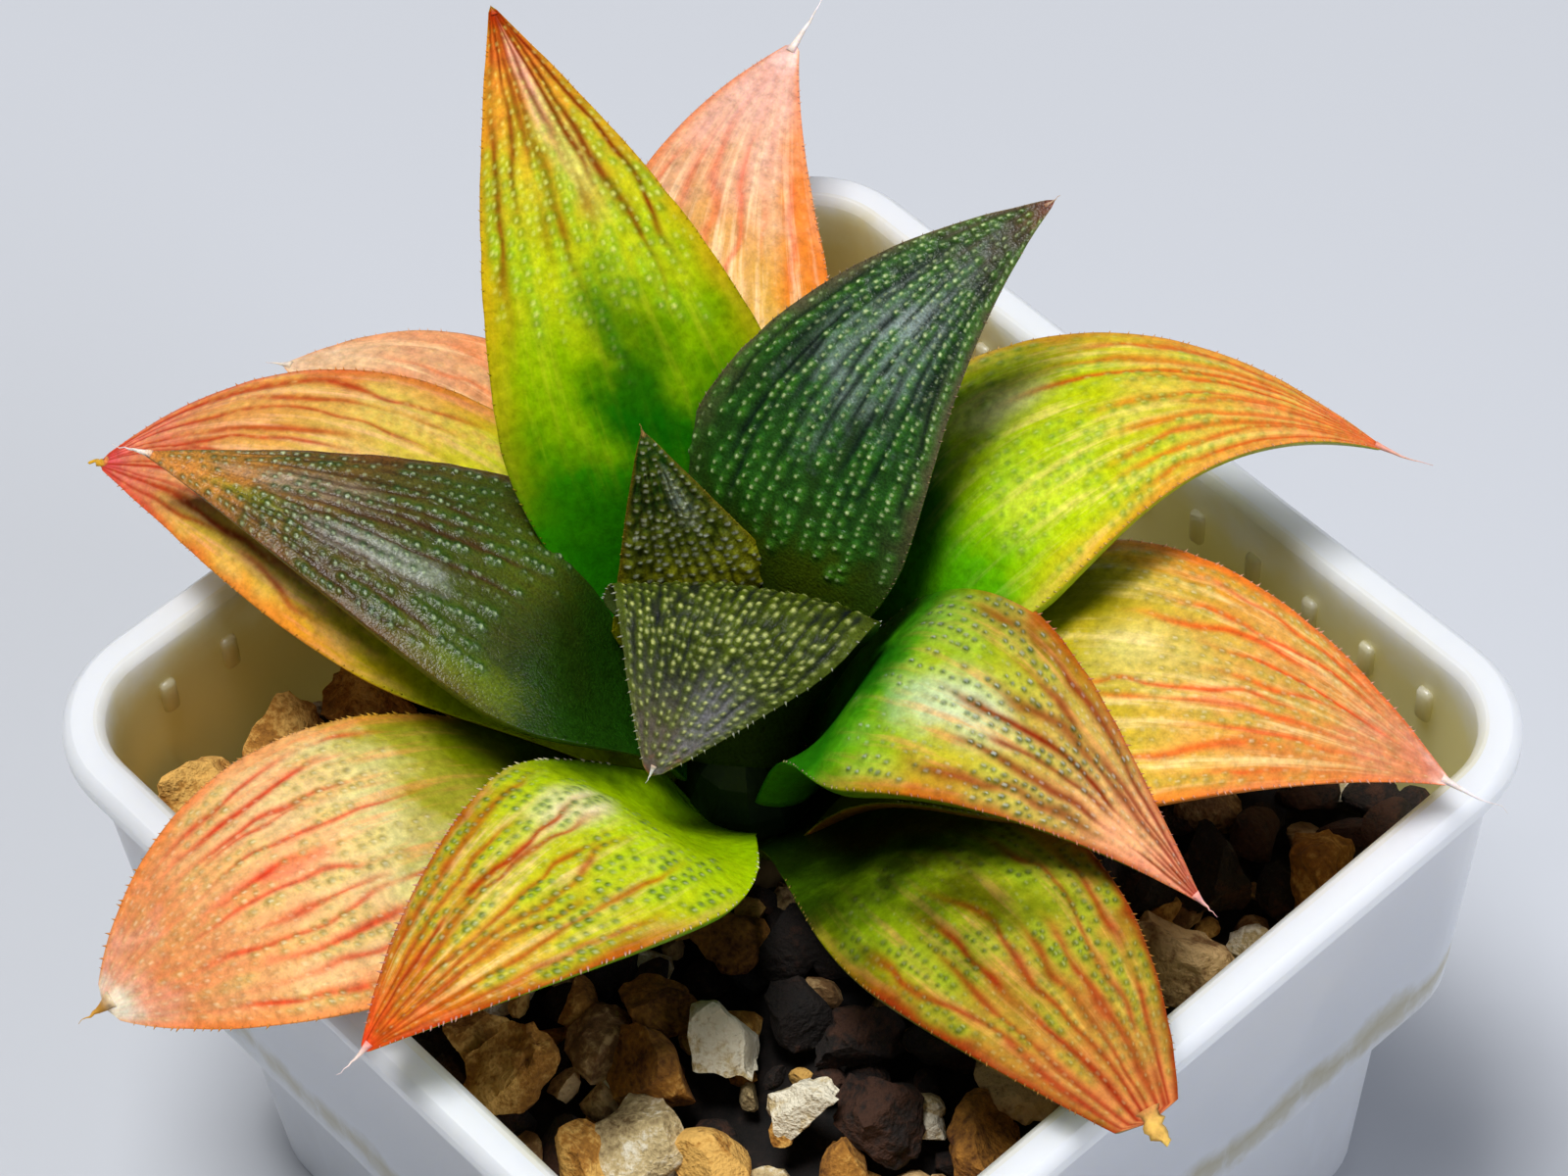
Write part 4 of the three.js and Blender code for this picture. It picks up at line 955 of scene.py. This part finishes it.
kinds = {"baked_clay": [], "pumice": [], "pebble": [], "lava": []}
dice = np.random.default_rng(31)
bpy.ops.object.select_all(action="DESELECT")
for kind, x, y, radius in SHOWN:
    top = top_under_leaves(GRIT_TOP + 1.0, x, y, radius)
    flats = 8 if kind == "baked_clay" else BROKEN_FACES[kind]  # the clay that shows is more broken
    kinds[kind].append(stone(radius, flats, (x, y, top - radius * 0.7), dice, splits=4))
steps = int(2 * BED_HALF / GRAIN_PITCH)
for i in range(steps + 1):
    for j in range(steps + 1):
        x, y = (2 * BED_HALF * k / steps - BED_HALF + (dice.random() - 0.5) * 3.0 for k in (i, j))
        radius = 2.1 + 1.5 * dice.random() ** 1.5
        x, y = (max(min(v, BED_HALF - radius), radius - BED_HALF) for v in (x, y))
        if math.dist((x, y), STEM_PLACE) < STEM_ROOM or any(
                math.hypot(x - u, y - v) < 0.75 * (radius + r) for _, u, v, r in SHOWN):
            continue
        top = top_under_leaves(GRIT_TOP + 0.6 - 3.2 * dice.random(), x, y, radius)
        # Baked clay lies mostly in the left corner of the picture, lava in front.
        leftward = (-x * math.cos(camera_azimuth) - y * math.sin(camera_azimuth)) / 45
        draw = dice.random()
        kind = ("baked_clay" if draw < 0.42 + 0.4 * leftward else
                "lava" if draw < 0.8 else "pebble" if draw < 0.9 else "pumice")
        kinds[kind].append(stone(radius, BROKEN_FACES[kind], (x, y, top - radius * 0.72), dice))
for _ in range(CRUMBS):
    x, y = ((dice.random() - 0.5) * 2 * (BED_HALF - 1) for _ in range(2))
    radius = 0.7 + 1.1 * dice.random()
    top = top_under_leaves(GRIT_TOP - 1.2 - 3.0 * dice.random(), x, y, radius)
    kind = ("baked_clay", "lava", "lava", "pebble", "lava", "pumice")[int(dice.random() * 5.3)]
    kinds[kind].append(stone(radius, 3, (x, y, top - radius), dice, splits=2))

# Broken mineral is matt. Its pores and patches, and a tone of its own for each stone, keep any two
# from looking alike. Clay is tan and dusty, pumice nearly white, pebble brown, and lava nearly black.
for kind, stones in kinds.items():
    select_only(*stones)
    bpy.ops.object.join()
    grains = bpy.context.active_object
    grains.name = "grains_of_" + kind
    bpy.ops.object.shade_smooth_by_angle(angle=SHARP_EDGE)
    colours, pore, depth, rough = GRIT_FINISH[kind]
    mineral, tree, shader = new_material(kind)
    where = add_node(tree, "TexCoord", output="Object")
    patches = add_node(tree, "TexNoise", {  # patches of 4 mm
        "Vector": where, "Scale": 240.0, "Detail": 5.0, "Roughness": 0.65})
    pores = add_node(tree, "TexNoise", {
        "Vector": where, "Scale": 1 / (pore * MM), "Detail": 4.0, "Roughness": 0.6})
    surface = add_node(tree, "Math", {0: pores, 1: 0.5, 2: patches}, operation="MULTIPLY_ADD")
    own_tone = add_node(tree, "Attribute", output="Fac", attribute_name="tone")
    toned = add_node(tree, "Math", {0: own_tone, 1: 0.25, 2: surface}, operation="MULTIPLY_ADD")
    colour = add_node(tree, "ValToRGB", {0: toned}, stops=list(zip((0.6, 0.86, 0.99), colours)))
    bump = add_node(tree, "Bump", {"Height": surface, "Strength": 0.9, "Distance": depth * MM})
    feed(tree, shader, {"Base Color": colour, "Normal": bump, "Roughness": rough})
    grains.data.materials.clear()
    grains.data.materials.append(mineral)
    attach(grains, "root")
    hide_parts("grit_bed")

# Dust and broken crumbs of 1.4 mm fill the pot under the grains, down to its floor. They are
# matt and coloured nearly black as painted shade, so that the gaps between the grains look deep.
filling = draw_up("grit_dust_and_shade", [
    (28.6, 4.8, 2.3), (30.0, 5.2, 22.8), (32.9, 5.8, 26.4), (33.3, 5.7, 37.5), (24.0, 4.0, 38.5)])
dust_and_shade, tree, shader = new_material("mineral_dust_and_shade")
where = add_node(tree, "TexCoord", output="Object")
crumbs = add_node(tree, "TexNoise", {"Vector": where, "Scale": 700.0, "Detail": 6.0})
# Nearly black: painted shade in the gaps between the grains.
colour = add_node(tree, "ValToRGB", {0: crumbs}, stops=[
    (0.35, "#0a0806"), (0.6, "#1c1410"), (0.8, "#3c2c20")])
bump = add_node(tree, "Bump", {"Height": crumbs, "Strength": 1.0, "Distance": 0.8 * MM})
feed(tree, shader, {"Base Color": colour, "Normal": bump, "Roughness": 0.95})
filling.data.materials.append(dust_and_shade)
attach(filling, "root")
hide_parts("grit_bed")
